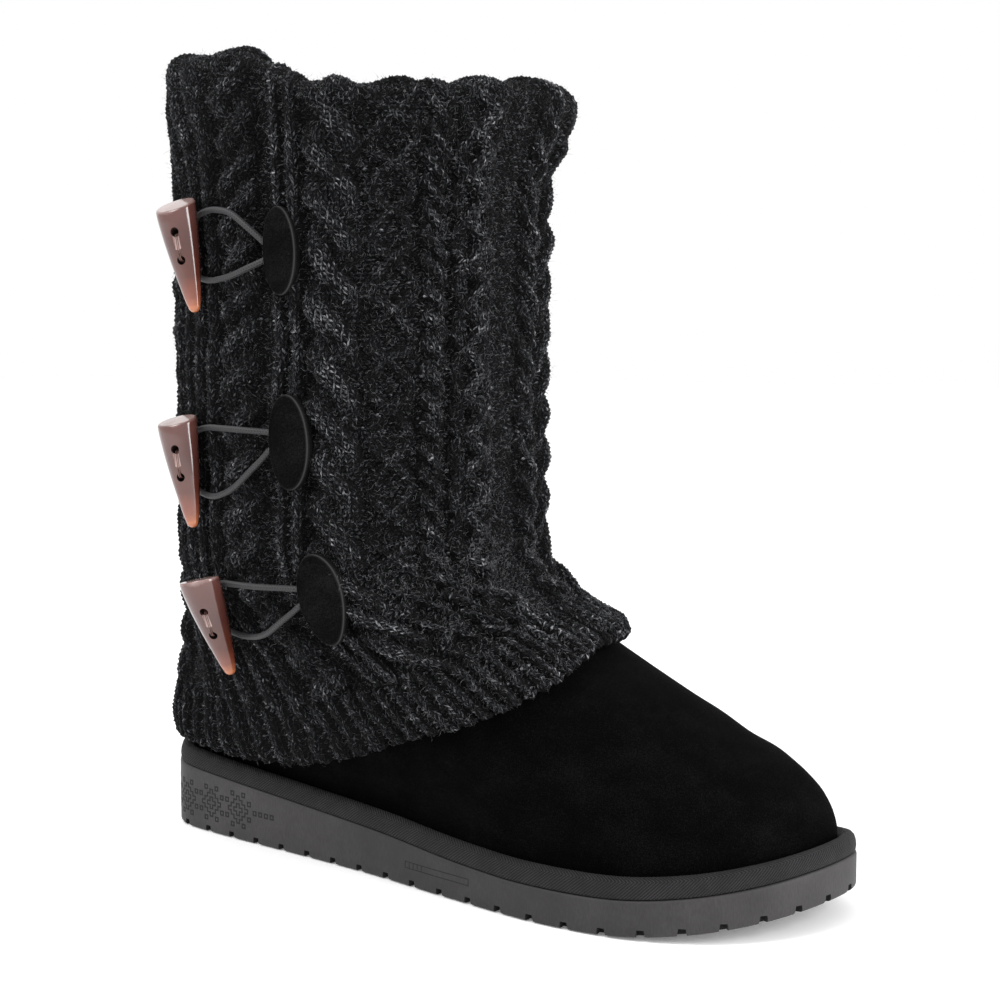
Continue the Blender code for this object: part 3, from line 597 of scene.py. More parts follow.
def sheet_of(name, rows, stitch=None, marks=None, out_of=None):
    """A grid laid over rows of points, each row running round the piece.

    `stitch` holds each point's place in the surface's own pattern and goes to the UV map, and
    `marks` are named numbers for each point.
    """
    rows = np.asarray(rows, float)
    down, across = rows.shape[0] - 1, rows.shape[1] - 1
    bpy.ops.mesh.primitive_grid_add(x_subdivisions=across, y_subdivisions=down, size=2)
    thing = bpy.context.object
    thing.name = thing.data.name = name
    mesh = thing.data
    flat = np.empty(len(mesh.vertices) * 3, np.float32)
    mesh.vertices.foreach_get("co", flat)
    flat = flat.reshape(-1, 3)
    i = np.rint((flat[:, 0] + 1) / 2 * across).astype(int)
    j = np.rint((flat[:, 1] + 1) / 2 * down).astype(int)
    place = rows[j, i] - (HEEL_CENTRE, 0.0, 0.0)
    mesh.vertices.foreach_set("co", place.astype(np.float32).ravel())
    corner = np.empty(len(mesh.loops), np.int32)
    mesh.loops.foreach_get("vertex_index", corner)
    if stitch is not None:
        layer = mesh.uv_layers[0] if mesh.uv_layers else mesh.uv_layers.new()
        layer.name = "pattern"
        s, t = np.broadcast_arrays(*stitch)
        uv = np.stack([s[j, i][corner], t[j, i][corner]], axis=-1)
        layer.data.foreach_set("uv", uv.astype(np.float32).ravel())
    for key, values in (marks or {}).items():
        attribute = mesh.attributes.new(key, "FLOAT", "POINT")
        spread = np.broadcast_to(values, rows.shape[:2])
        attribute.data.foreach_set("value", spread[j, i].astype(np.float32))
    mesh.update()
    steps = [(bpy.ops.mesh.remove_doubles, {"threshold": 1e-6})]
    if out_of is None:
        steps.append((bpy.ops.mesh.normals_make_consistent, {"inside": False}))
    edit(thing, *steps)
    if out_of is not None:
        middle = mesh.polygons[len(mesh.polygons) // 2]
        if Vector(middle.normal).dot(middle.center - Vector(out_of)) < 0:
            edit(thing, (bpy.ops.mesh.flip_normals, {}))
    active(thing)
    bpy.ops.object.shade_smooth()
    return thing


def ride(thing, slot, *nodes):
    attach(thing, "root")
    if nodes:
        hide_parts(*nodes)
    return thing


def closed_ring(count):
    """Angles once round, with the first again at the end."""
    return np.linspace(0.0, TURN, count + 1)


def lid(ring, steps):
    """Rows from a ring in to its middle line, for a flat closed end."""
    last = ring[::-1]
    middle = (ring + last) / 2
    return [mix(ring, middle, k / steps) for k in range(1, steps + 1)]


def tube_rows(path, radius, sides):
    """Rows of points for a round tube along a path, closed flat at its ends."""
    path = np.asarray(path, float)
    ahead = unit(np.gradient(path, axis=0))
    side = np.empty_like(path)
    lean = np.array((0.31, -0.64, 0.70))
    for k, way in enumerate(ahead):
        lean = lean - way * lean.dot(way)
        lean = lean / np.linalg.norm(lean)
        side[k] = lean
    other = np.cross(ahead, side)
    turn = np.linspace(0.0, TURN, sides + 1)[None, :, None]
    spokes = side[:, None] * np.cos(turn) + other[:, None] * np.sin(turn)
    rows = path[:, None] + radius * spokes
    first, last = np.repeat(path[:1], sides + 1, 0), np.repeat(path[-1:], sides + 1, 0)
    return np.concatenate([first[None], rows, last[None]])


# Materials


def linear(hex_colour):
    """An sRGB hex colour as linear red, green, blue and alpha."""
    parts = [int(hex_colour[k:k + 2], 16) / 255 for k in (1, 3, 5)]
    return (*[p / 12.92 if p <= 0.04045 else ((p + 0.055) / 1.055) ** 2.4 for p in parts], 1.0)


def add(tree, kind, settings=None, links=None):
    """Adds a node, with its settings or socket values and the outputs that feed it."""
    node = tree.nodes.new("ShaderNode" + kind)
    for key, value in (settings or {}).items():
        if isinstance(key, int) or key in node.inputs:
            node.inputs[key].default_value = value
        else:
            setattr(node, key, value)
    for key, source in (links or {}).items():
        tree.links.new(source, node.inputs[key])
    return node


def maths(tree, operation, first, second=None):
    """A sum of two values, each a number or a node's output."""
    settings, links = {"operation": operation}, {}
    for k, value in enumerate((first, second)):
        if isinstance(value, (int, float)):
            settings[k] = value
        elif value is not None:
            links[k] = value
    return add(tree, "Math", settings, links).outputs[0]


def ramp(tree, source, *stops):
    node = add(tree, "ValToRGB", links={"Fac": source})
    elements = node.color_ramp.elements
    while len(elements) < len(stops):
        elements.new(0.5)
    for element, (position, colour) in zip(elements, stops):
        element.position = position
        element.color = linear(colour)
    return node.outputs["Color"]


def new_material(name, roughness, **sockets):
    material = bpy.data.materials.new(name)
    material.use_nodes = True
    tree = material.node_tree
    shader = tree.nodes["Principled BSDF"]
    shader.inputs["Roughness"].default_value = roughness
    for key, value in sockets.items():
        shader.inputs[key.replace("_", " ")].default_value = value
    return material, tree, shader


def bump(tree, shader, height, strength, distance):
    node = add(tree, "Bump", {"Strength": strength, "Distance": distance}, {"Height": height})
    tree.links.new(node.outputs["Normal"], shader.inputs["Normal"])


def colour(tree, shader, output):
    tree.links.new(output, shader.inputs["Base Color"])


def pattern(tree):
    """The two coordinates of a piece's own pattern."""
    node = add(tree, "UVMap", {"uv_map": "pattern"})
    parts = add(tree, "SeparateXYZ", links={"Vector": node.outputs["UV"]})
    return parts.outputs["X"], parts.outputs["Y"]


def object_noise(tree, scale, detail=2.0, rough=0.5, stretch=(1.0, 1.0, 1.0)):
    place = add(tree, "TexCoord")
    mapping = add(tree, "Mapping", {"Scale": stretch}, {"Vector": place.outputs["Object"]})
    settings = {"Scale": scale, "Detail": detail, "Roughness": rough}
    return add(tree, "TexNoise", settings, {"Vector": mapping.outputs["Vector"]}).outputs["Fac"]


def yarn_noise(tree, across, along, across_scale, along_scale, detail):
    """Noise drawn out along the yarn."""
    vector = add(
        tree, "CombineXYZ",
        links={
            "X": maths(tree, "MULTIPLY", across, across_scale),
            "Y": maths(tree, "MULTIPLY", along, along_scale),
        },
    )
    settings = {"Scale": 1.0, "Detail": detail, "Roughness": 0.6}
    return add(tree, "TexNoise", settings, {"Vector": vector.outputs[0]}).outputs["Fac"]


def charcoal_heather_yarn():
    """Loosely spun acrylic and wool, two plies: dark ground, pale fibres drawn along the yarn."""
    material, tree, shader = new_material(
        "charcoal_heather_yarn", 0.92, Sheen_Weight=0.04, Sheen_Roughness=0.5,
        Sheen_Tint=linear("#b9bac0"), Specular_IOR_Level=0.12,
    )
    along, across = pattern(tree)
    # The legs' tone is random, lighter on purl legs, and carries painted shade: darker the deeper a
    # leg lies in the relief
    leg_tone_and_painted_shade = add(tree, "Attribute", {"attribute_name": "tone"}).outputs["Fac"]
    fibres = yarn_noise(tree, across, along, 3.6, 1.1, 3.0)
    hairs = yarn_noise(tree, across, along, 8.0, 2.2, 2.0)
    clouds = object_noise(tree, 110.0, 3.0, 0.6)
    drawn = maths(tree, "MULTIPLY", fibres, 0.55)
    drawn = maths(tree, "ADD", drawn, maths(tree, "MULTIPLY", hairs, 0.50))
    tone = maths(tree, "ADD", drawn, maths(tree, "MULTIPLY", leg_tone_and_painted_shade, 0.14))
    patches = maths(tree, "MULTIPLY", maths(tree, "SUBTRACT", clouds, 0.5), 0.30)
    tone = maths(tree, "ADD", tone, patches)
    base = ramp(
        tree, tone, (0.38, "#020202"), (0.50, "#070708"), (0.60, "#1a1b1d"), (0.69, "#4a4b4e"),
        (0.80, "#a4a4a8"),
    )
    colour(tree, shader, base)
    ply = maths(tree, "MULTIPLY", along, 2.2)
    ply = maths(tree, "ADD", ply, maths(tree, "MULTIPLY", across, 0.45))
    twist = maths(tree, "SINE", maths(tree, "MULTIPLY", ply, TURN))
    total = maths(tree, "ADD", fibres, maths(tree, "MULTIPLY", hairs, 0.6))
    total = maths(tree, "ADD", total, maths(tree, "MULTIPLY", twist, 0.12))
    bump(tree, shader, total, 0.9, 0.55 * MM)
    return material


def yarn_in_painted_shade():
    """The same yarn made darker, painted shade where it lies deeper between the stitches' legs."""
    material, tree, shader = new_material("yarn_in_painted_shade", 0.95, Specular_IOR_Level=0.1)
    across, along = pattern(tree)
    streaks = yarn_noise(tree, along, across, 4.0, 2.5, 3.0)
    base = ramp(tree, streaks, (0.42, "#030304"), (0.58, "#0d0d0e"), (0.75, "#2e2e31"))
    colour(tree, shader, base)
    bump(tree, shader, streaks, 0.9, 0.7 * MM)
    return material


def black_suede(name, shades, pale_edge=False):
    """Split leather with a short buffed nap: nearly black, no gloss, faint brushed patches."""
    material, tree, shader = new_material(
        name, 1.0, Sheen_Weight=0.016, Sheen_Roughness=0.35, Sheen_Tint=linear("#8c8c90"),
        Specular_IOR_Level=0.03,
    )
    nap = object_noise(tree, 2400.0, 3.0, 0.65)
    brushed = object_noise(tree, 60.0, 4.0, 0.6, (1.0, 1.0, 1.6))
    tone = maths(
        tree, "ADD", maths(tree, "MULTIPLY", nap, 0.70), maths(tree, "MULTIPLY", brushed, 0.30),
    )
    base = ramp(tree, tone, *zip((0.38, 0.50, 0.64), shades))
    if pale_edge:
        edge = add(tree, "Attribute", {"attribute_name": "edge"}).outputs["Fac"]
        base = add(
            tree, "Mix", {"data_type": "RGBA", 7: linear("#3a3939")}, {0: edge, 6: base},
        ).outputs[2]
    colour(tree, shader, base)
    bump(tree, shader, nap, 0.5, 0.25 * MM)
    return material


def dark_pile():
    """Short synthetic pile lining: curled tufts about 3 mm across."""
    material, tree, shader = new_material(
        "dark_pile", 1.0, Sheen_Weight=0.25, Sheen_Roughness=0.5, Specular_IOR_Level=0.1,
    )
    tufts = object_noise(tree, 420.0, 4.0, 0.65)
    base = ramp(tree, tufts, (0.35, "#121214"), (0.5, "#2a2a2c"), (0.66, "#4b4b4d"))
    colour(tree, shader, base)
    bump(tree, shader, tufts, 0.9, 1.2 * MM)
    return material


def moulded_foam():
    """Compression moulded EVA: mid grey skin, fine upright grain about 0.6 mm wide."""
    material, tree, shader = new_material("moulded_foam", 0.62, Specular_IOR_Level=0.35)
    grain = object_noise(tree, 1500.0, 3.0, 0.6, (1.0, 1.0, 0.35))
    soil = object_noise(tree, 45.0, 4.0, 0.6)
    tone = maths(
        tree, "ADD", maths(tree, "MULTIPLY", grain, 0.4), maths(tree, "MULTIPLY", soil, 0.6),
    )
    skin = ramp(tree, tone, (0.3, "#292728"), (0.5, "#343233"), (0.7, "#413f40"))
    # Painted shade: the middle of the sole's length is darkened, the heel and the toe are left full
    # bright, as the light falls on them
    place = add(tree, "TexCoord")
    parts = add(tree, "SeparateXYZ", links={"Vector": place.outputs["Object"]})
    along = maths(tree, "ADD", parts.outputs["X"], HEEL_CENTRE)
    painted_shade_along_sole = ramp(
        tree, maths(tree, "MULTIPLY", along, 1 / SOLE_LENGTH), (0.20, "#ffffff"),
        (0.42, "#d2d2d2"), (0.84, "#d8d8d8"), (1.0, "#ffffff"),
    )
    mixed = add(
        tree, "Mix", {"data_type": "RGBA", "blend_type": "MULTIPLY", 0: 1.0}, {6: skin, 7: painted_shade_along_sole},
    )
    colour(tree, shader, mixed.outputs[2])
    bump(tree, shader, grain, 0.35, 0.18 * MM)
    return material


def notch_painted_shade():
    """Walls of the notches in the tread, near black: painted shade in their recess."""
    return plain("notch_painted_shade", ("#060606", "#121112"), 0.9)


def hole_painted_shade():
    """Unpolished walls of the sewing holes, painted dark brown as shade inside them."""
    return plain("hole_painted_shade", ("#160906", "#2c140f"), 0.7)


def herringbone_tape():
    """Woven tape bonded round the sole: slanting ribs 1.25 mm apart that turn at its middle."""
    material, tree, shader = new_material("herringbone_tape", 0.78, Specular_IOR_Level=0.3)
    along, across = pattern(tree)
    spine = maths(tree, "ABSOLUTE", maths(tree, "SUBTRACT", across, 5.2))
    slant = maths(tree, "ADD", along, maths(tree, "MULTIPLY", spine, 1.15))
    rib = maths(tree, "SINE", maths(tree, "MULTIPLY", slant, TURN / 1.25))
    weft = maths(tree, "SUBTRACT", slant, maths(tree, "MULTIPLY", spine, 2.6))
    thread = maths(tree, "SINE", maths(tree, "MULTIPLY", weft, TURN / 0.62))
    height = maths(tree, "MULTIPLY", rib, 0.5)
    height = maths(tree, "ADD", height, maths(tree, "MULTIPLY", thread, 0.2))
    level = maths(tree, "ADD", maths(tree, "MULTIPLY", height, 0.6), 0.5)
    wear = object_noise(tree, 160.0, 3.0)
    tone = maths(tree, "MULTIPLY", level, 0.65)
    tone = maths(tree, "ADD", tone, maths(tree, "MULTIPLY", wear, 0.35))
    colour(tree, shader, ramp(tree, tone, (0.2, "#080809"), (0.5, "#151416"), (0.85, "#383638")))
    bump(tree, shader, height, 0.9, 0.35 * MM)
    return material


def polished_horn():
    """Cast polyester resin made like horn: brown, clouded, clearer and amber at the tip."""
    material, tree, shader = new_material(
        "polished_horn", 0.13, IOR=1.55, Coat_Weight=0.6, Coat_Roughness=0.04,
        Subsurface_Weight=0.12, Subsurface_Radius=(0.006, 0.002, 0.001),
    )
    _, down = pattern(tree)
    clouds = object_noise(tree, 120.0, 3.0, 0.55)
    drift = maths(tree, "MULTIPLY", maths(tree, "SUBTRACT", clouds, 0.5), 0.16)
    place = maths(tree, "ADD", down, drift)
    # The first stop, pale, is a painted highlight on the sawn top; the amber towards the tip is the
    # horn's own colour
    base = ramp(
        tree, place, (0.0, "#a48a85"), (0.07, "#5a3631"), (0.42, "#4b2924"), (0.70, "#56291e"),
        (0.86, "#7c4231"), (1.0, "#b56a40"),
    )
    colour(tree, shader, base)
    return material


def braided_elastic():
    """Round elastic cord in a braided polyester sheath: dark grey with a soft sheen."""
    material, tree, shader = new_material(
        "braided_elastic", 0.5, Sheen_Weight=0.16, Sheen_Roughness=0.4,
        Sheen_Tint=linear("#c8c8cc"),
    )
    along, round_it = pattern(tree)
    plies = []
    for way in ("ADD", "SUBTRACT"):
        phase = maths(tree, "MULTIPLY", maths(tree, way, along, round_it), TURN)
        plies.append(maths(tree, "SINE", phase))
    height = maths(tree, "MAXIMUM", *plies)
    colour(tree, shader, ramp(tree, height, (0.0, "#0b0b0c"), (0.6, "#1a1a1c"), (1.0, "#303033")))
    bump(tree, shader, height, 0.5, 0.12 * MM)
    return material


def plain(name, shade, roughness, **sockets):
    material, tree, shader = new_material(name, roughness, **sockets)
    tone = object_noise(tree, 900.0, 2.0)
    colour(tree, shader, ramp(tree, tone, (0.3, shade[0]), (0.7, shade[1])))
    return material


def black_thread():
    """Twisted polyester thread, matte black."""
    return plain("black_thread", ("#010101", "#040404"), 1.0, Specular_IOR_Level=0.0)


def clear_thread():
    """Nylon monofilament, brown from the horn behind it."""
    return plain("clear_thread", ("#4a302a", "#694a42"), 0.3)


def engraved_line():
    """Foot of the lines moulded into the sole's side, in shade."""
    return plain("engraved_line", ("#0b0b0b", "#131213"), 0.9)


def give(thing, *materials):
    for material in materials:
        thing.data.materials.append(material)


# Sole


def make_sole(foam, notch_shade):
    """Wedge sole with rounded edges, notches, chevron tread and the pocket under the arch."""
    angle = closed_ring(300)
    turns = np.linspace(0.0, math.pi / 2, 5)
    rows = []
    for turn in turns:
        edge = inset(angle, np.full(angle.shape, SOLE_ROUNDING * (1 - math.sin(turn))))
        edge[:, 2] = floor_lift(edge[:, 0]) + SOLE_ROUNDING * (1 - math.cos(turn))
        rows.append(edge)
    side = outline(angle)
    low = floor_lift(side[:, 0]) + SOLE_ROUNDING
    high = sole_top(side[:, 0]) - SOLE_ROUNDING
    for share in np.linspace(0.0, 1.0, 9)[1:-1]:
        rows.append(points(side[:, 0], side[:, 1], mix(low, high, share)))
    for turn in turns:
        edge = inset(angle, np.full(angle.shape, SOLE_ROUNDING * (1 - math.cos(turn))))
        edge[:, 2] = sole_top(edge[:, 0]) - SOLE_ROUNDING * (1 - math.sin(turn))
        rows.append(edge)
    rows = lid(rows[0], 3)[::-1] + rows + lid(rows[-1], 3)
    sole = sheet_of("sole_unit", rows)
    give(sole, foam)
    # the notches' walls take a near black finish: painted shade in the recess
    cut_with(sole, notch_boxes(), notch_shade)
    cut_with(sole, groove_boxes() + [pocket_box()], foam)
    active(sole)
    bpy.ops.object.shade_smooth_by_angle(angle=math.radians(40))
    ride(sole, "moulded_eva", "outsole")


def cut_with(thing, prisms, walls):
    """Cuts prisms out of a piece and gives the cut's walls a material of their own.

    Each prism is its lower and its upper corners.
    """
    corners, faces = [], []
    for lower, upper in prisms:
        first, count = len(corners), len(lower)
        corners += [Vector(p) - Vector((HEEL_CENTRE, 0, 0)) for p in (*lower, *upper)]
        faces.append([first + k for k in range(count)][::-1])
        faces.append([first + count + k for k in range(count)])
        for k in range(count):
            n = (k + 1) % count
            faces.append([first + k, first + n, first + count + n, first + count + k])
    cutter = joined("cutter", corners, faces)
    give(cutter, walls)
    apply_modifier(
        thing, "BOOLEAN", operation="DIFFERENCE", object=cutter, solver="EXACT",
        material_mode="TRANSFER",
    )
    bpy.data.objects.remove(cutter)


def rectangle(centre, along, across, half_along, half_across, z):
    corners = []
    for a, b in ((-1, -1), (1, -1), (1, 1), (-1, 1)):
        corner = centre + along * (a * half_along) + across * (b * half_across)
        corners.append((corner[0], corner[1], z))
    return corners


def notch_boxes():
    angle = np.linspace(0.0, TURN, 1441)
    step = np.linalg.norm(np.diff(outline(angle), axis=0), axis=1)
    arc = np.concatenate([[0.0], np.cumsum(step)])
    count = round(arc[-1] / NOTCH_PITCH)
    boxes = []
    for at in np.interp(NOTCH_FIRST + arc[-1] * np.arange(count) / count, arc, angle):
        into = inward(at)
        along = np.array((-into[1], into[0], 0.0))
        centre = outline(at)
        lift = float(floor_lift(centre[0]))
        top = lift + NOTCH_HEIGHT + 0.0004
        low = rectangle(centre, along, into, NOTCH_WIDTH * 0.80, NOTCH_DEPTH, lift - NOTCH_HEIGHT)
        high = rectangle(centre, along, into, NOTCH_WIDTH * 0.50, NOTCH_DEPTH, top)
        boxes.append((low, high))
    return boxes


def half_widths(x):
    angle = math.acos(min(max(1 - 2 * x / SOLE_LENGTH, -1.0), 1.0))
    return -float(outline(angle)[1]), float(outline(TURN - angle)[1])


def groove_boxes():
    boxes = []
    for first, last in ((0.06, 0.31), (0.50, 0.90)):
        k_first = math.ceil((first * SOLE_LENGTH - HEEL_CENTRE) / NOTCH_PITCH - 0.5)
        k_last = math.floor((last * SOLE_LENGTH - HEEL_CENTRE) / NOTCH_PITCH - 0.5)
        for k in range(k_first, k_last + 1):
            x = HEEL_CENTRE + (k + 0.5) * NOTCH_PITCH
            lateral, medial = half_widths(x)
            left, right = -lateral + GROOVE_RIM, medial - GROOVE_RIM
            middle = (left + right) / 2
            top = float(floor_lift(x)) + GROOVE_DEPTH
            back, dip = -GROOVE_WIDTH, GROOVE_WIDTH
            ring = (
                (back, left), (back + dip, middle), (back, right),
                (back + GROOVE_WIDTH, right), (back + dip + GROOVE_WIDTH, middle),
                (back + GROOVE_WIDTH, left),
            )
            lower = [(x + a, b, top - 2 * GROOVE_DEPTH) for a, b in ring]
            upper = [(x + a, b, top) for a, b in ring]
            boxes.append((lower, upper))
    return boxes


def pocket_box():
    lateral, medial = half_widths(0.40 * SOLE_LENGTH)
    left, right = -lateral + GROOVE_RIM, medial - GROOVE_RIM
    back, front = 0.345 * SOLE_LENGTH, 0.475 * SOLE_LENGTH
    bow = (right - left) * 0.25
    ring = (
        (back, left + bow), (back, right - bow), (back + bow, right), (front - bow, right),
        (front, right - bow), (front, left + bow), (front - bow, left), (back + bow, left),
    )
    lower = [(a, b, -WAIST_POCKET_DEPTH) for a, b in ring]
    upper = [(a, b, WAIST_POCKET_DEPTH) for a, b in ring]
    return lower, upper


def make_band(tape):
    section = (
        # inwards, up
        (1.00, 0.00), (0.06, 0.00), (0.03, 0.25), (0.06, 0.50), (0.14, 0.74), (0.28, 0.91),
        (0.46, 0.99), (0.62, 1.00), (0.78, 0.95), (0.92, 0.86), (1.00, 0.74), (1.00, 0.00),
    )
    angle = closed_ring(360)
    dense = []
    for (a, b), (c, d) in zip(section, section[1:]):
        dense += [(mix(a, c, k / 3), mix(b, d, k / 3)) for k in range(3)]
    dense.append(section[-1])
    rows, across = [], [0.0]
    for into, up in dense:
        edge = inset(angle, np.full(angle.shape, BAND_WALL * into))
        edge[:, 2] = sole_top(edge[:, 0]) + GAP + BAND_HEIGHT * up
        rows.append(edge)
    for a, b in zip(dense, dense[1:]):
        inwards, up = (b[0] - a[0]) * BAND_WALL, (b[1] - a[1]) * BAND_HEIGHT
        across.append(across[-1] + math.hypot(inwards, up))
    step = np.linalg.norm(np.diff(outline(angle), axis=0), axis=1)
    arc = np.concatenate([[0.0], np.cumsum(step)])
    across = (np.array(across) - BAND_WALL) / MM
    band = sheet_of("foxing_tape", rows, (arc[None] / MM, across[:, None]))
    give(band, tape)
    ride(band, "ribbed_tape", "foxing_band")


def make_motif(line):
    """Stepped diamonds and small squares, moulded as thin outlines round the heel."""
    diamond = (
        "..#...#..",
        "....#....",
        "#..###..#",
        "..##.##..",
        ".##...##.",
        "..##.##..",
        "#..###..#",
        "....#....",
        "..#...#..",
    )
    repeats, spare = 11, 2
    trail = 7
    step = len(diamond[0]) + spare - 1
    across = trail * 2 + step * repeats
    chart = [[False] * across for _ in diamond]
    for k in range(repeats):
        for row, line_of in enumerate(diamond):
            for column, mark in enumerate(line_of):
                chart[row][trail + k * step + column] |= mark == "#"
    for k in range(0, trail, 2):
        chart[len(diamond) // 2][k] = chart[len(diamond) // 2][-1 - k] = True

    def filled(row, column):
        return 0 <= row < len(chart) and 0 <= column < across and chart[row][column]

    start, top = -across * MOTIF_CELL / 2, MOTIF_FOOT + len(chart) * MOTIF_CELL
    lines = []
    for row in range(len(chart) + 1):
        for column in range(across + 1):
            a, z = start + column * MOTIF_CELL, top - row * MOTIF_CELL
            if filled(row, column) != filled(row - 1, column):
                lines.append((a, a + MOTIF_CELL, z, z, MOTIF_LINE / 2))
            if filled(row, column) != filled(row, column - 1):
                lines.append((a, a, z - MOTIF_CELL, z, MOTIF_LINE / 2))
    for a0, a1, z0, z1 in ARCH_LINES:
        ends = np.linspace(a0, a1, max(1, round((a1 - a0) / 2)) + 1) * MM
        lines += [(a, b, z0 * MM, z1 * MM, ARCH_LINE / 2) for a, b in zip(ends, ends[1:])]
    angle = np.linspace(-2.2, 2.2, 1600)
    steps = np.linalg.norm(np.diff(outline(angle), axis=0), axis=1)
    arc = np.concatenate([[0.0], np.cumsum(steps)])
    arc -= np.interp(0.0, angle, arc)
    corners, faces = [], []
    for a0, a1, low, top, half in lines:
        a0, a1, low, top = a0 - half, a1 + half, low - half, top + half
        first = len(corners)
        for depth in (-0.1 * MM, 0.05 * MM):
            for a, z in ((a0, low), (a1, low), (a1, top), (a0, top)):
                place = inset(float(np.interp(a, arc, angle)), -depth)
                corners.append((place[0] - HEEL_CENTRE, place[1], z))
        faces += [[first + 3, first + 2, first + 1, first], [first + k for k in range(4, 8)]]
        for k in range(4):
            n = (k + 1) % 4
            faces.append([first + k, first + n, first + 4 + n, first + 4 + k])
    motif = joined("heel_motif", corners, faces)
    give(motif, line)
    ride(motif, "moulded_eva")


def joined(name, corners, faces):
    """Many small pieces as one mesh, with its faces turned outwards."""
    mesh = bpy.data.meshes.new(name)
    mesh.from_pydata(corners, [], faces)
    thing = bpy.data.objects.new(name, mesh)
    bpy.context.scene.collection.objects.link(thing)
    edit(thing, (bpy.ops.mesh.normals_make_consistent, {"inside": False}))
    return thing


# Suede boot


def suede_creases(angle, level):
    degrees = np.degrees(angle)
    depth = 0.0
    for middle, half_length, at, half_width, deep in SUEDE_CREASES:
        along, across = (degrees - middle) / half_length, (level - at) / half_width
        depth = depth + deep * np.exp(-3.0 * along**2) * (
            np.exp(-2.5 * across**2) - 0.5 * np.exp(-2.5 * (np.abs(across) - 1.3) ** 2)
        )
    return -depth


def make_upper(suede, pile):
    """Suede outside and pile lining as one shell, the foot's form from the same rings."""
    angle = closed_ring(240)
    levels = np.concatenate([np.linspace(0.0, 1.0, 90), np.linspace(1.0, 2.0, 22)[1:]])
    rows = []
    for level in levels:
        at = np.full(angle.shape, level)
        rows.append(off_upper(angle, at, suede_creases(angle, at)))
    outside = len(rows)
    inner = np.concatenate([np.linspace(2.0, 1.0, 30), np.linspace(1.0, 0.0, 50)[1:]])
    for level in inner:
        at = np.full(angle.shape, level)
        tufts = value_noise(angle / TURN * 130, at * 40 + 9, 5, 130) * 0.0005
        rows.append(off_upper(angle, at, -UPPER_WALL + tufts * (level < 1.98)))
    rows.append(rows[0])
    upper = sheet_of("suede_boot", rows)
    give(upper, suede, pile)
    across = len(angle) - 1
    index = np.arange(len(upper.data.polygons)) // across
    lining = (index >= outside - 1) & (index < len(rows) - 2)
    upper.data.polygons.foreach_set("material_index", lining.astype(np.int32))
    ride(upper, "black_suede", "suede_upper")


def make_insole(pile):
    angle = closed_ring(200)
    edge = BAND_WALL + GAP + UPPER_WALL + INSOLE_CLEARANCE
    rows = []
    for extra, up in ((0.0, 0.0), (0.0, 0.55), (0.08, 0.8), (0.3, 1.0)):
        ring = inset(angle, np.full(angle.shape, edge + INSOLE_THICKNESS * extra))
        ring[:, 2] = sole_top(ring[:, 0]) + GAP + INSOLE_THICKNESS * up
        rows.append(ring)
    rows = lid(rows[0], 2)[::-1] + rows + lid(rows[-1], 40)
    for k in range(6, len(rows)):
        ring = rows[k]
        ring[:, 2] = sole_top(ring[:, 0]) + GAP + INSOLE_THICKNESS * 0.96
        ring[:, 2] += value_noise(ring[:, 0] * 420, ring[:, 1] * 420 + 60, 8) * 0.0004
    insole = sheet_of("pile_insole", rows)
    give(insole, pile)
    ride(insole, "pile_footbed", "insole")


# Knit


def strands(x, down, pitch, hand, kind):
    """Height from 0 to 1 of strands that twist, plait or lie in a lattice, and how they lean."""
    count, swing, half = STRANDS[kind]
    height, lean = np.zeros(down.shape), np.zeros(down.shape)
    for k in range(count):
        phase = TURN * (down / pitch * hand + k / count)
        over = np.cos(phase) if kind == "rope" else np.cos(2 * phase)
        off = (x - swing * np.sin(phase)) / half
        body = np.sqrt(np.clip(1 - off**2, 0.0, 1.0)) * (0.66 + 0.34 * over)
        higher = body > height
        height = np.where(higher, body, height)
        lean = np.where(higher, swing * np.cos(phase) * TURN / pitch * hand, lean)
    return height, lean


def knit_relief(degrees, down, to_hem):
    """Height of the knit's columns over its ground, how they lean, and where the purl is."""
    shape = np.broadcast_shapes(degrees.shape, down.shape)
    height, lean, purl = np.zeros(shape), np.zeros(shape), np.ones(shape)
    top = {middle: share * ROPE_RISE + GROUND_DEPTH for middle, _, share in ROPES}
    for start, end, kind, pitch, hand in KNIT_COLUMNS:
        pick = (degrees >= start) & ((degrees < end) | (end == 360.0))
        if not pick.any():
            continue
        middle, half = (start + end) / 2, (end - start) / 2
        x = ((degrees[pick] - middle) / half)[None]
        v = down[:, pick]
        if kind in STRANDS:
            nearest = min(top, key=lambda at: abs(at - middle))
            body, slope = strands(x, v, pitch * MM, hand, kind)
            height[:, pick] = body * (GROUND_DEPTH + 0.0006 if kind == "lattice" else top[nearest])
            lean[:, pick] = slope * math.radians(half) * SHAFT_WIDTH / 2
            purl[:, pick] = (body < 0.25).astype(float)
        elif kind == "ribs":
            turn = (degrees[pick] - start) / pitch
            crest = np.cos(math.pi * (turn - np.floor(turn) - 0.5)) ** 0.8
            height[:, pick] = crest * (GROUND_DEPTH + RIB_HEIGHT)
            purl[:, pick] = (crest < 0.45).astype(float)
    hem = ease((HEM_BAND + 0.002 - to_hem) / 0.004)
    turn = np.broadcast_to(degrees, shape) / HEM_RIB_DEGREES
    crest = np.abs(np.cos(math.pi * turn)) ** 0.8
    height = mix(height, crest * (GROUND_DEPTH + RIB_HEIGHT), hem)
    lean = lean * (1 - hem)
    purl = np.where(hem > 0.5, (crest < 0.45).astype(float), purl)
    return height, lean, purl


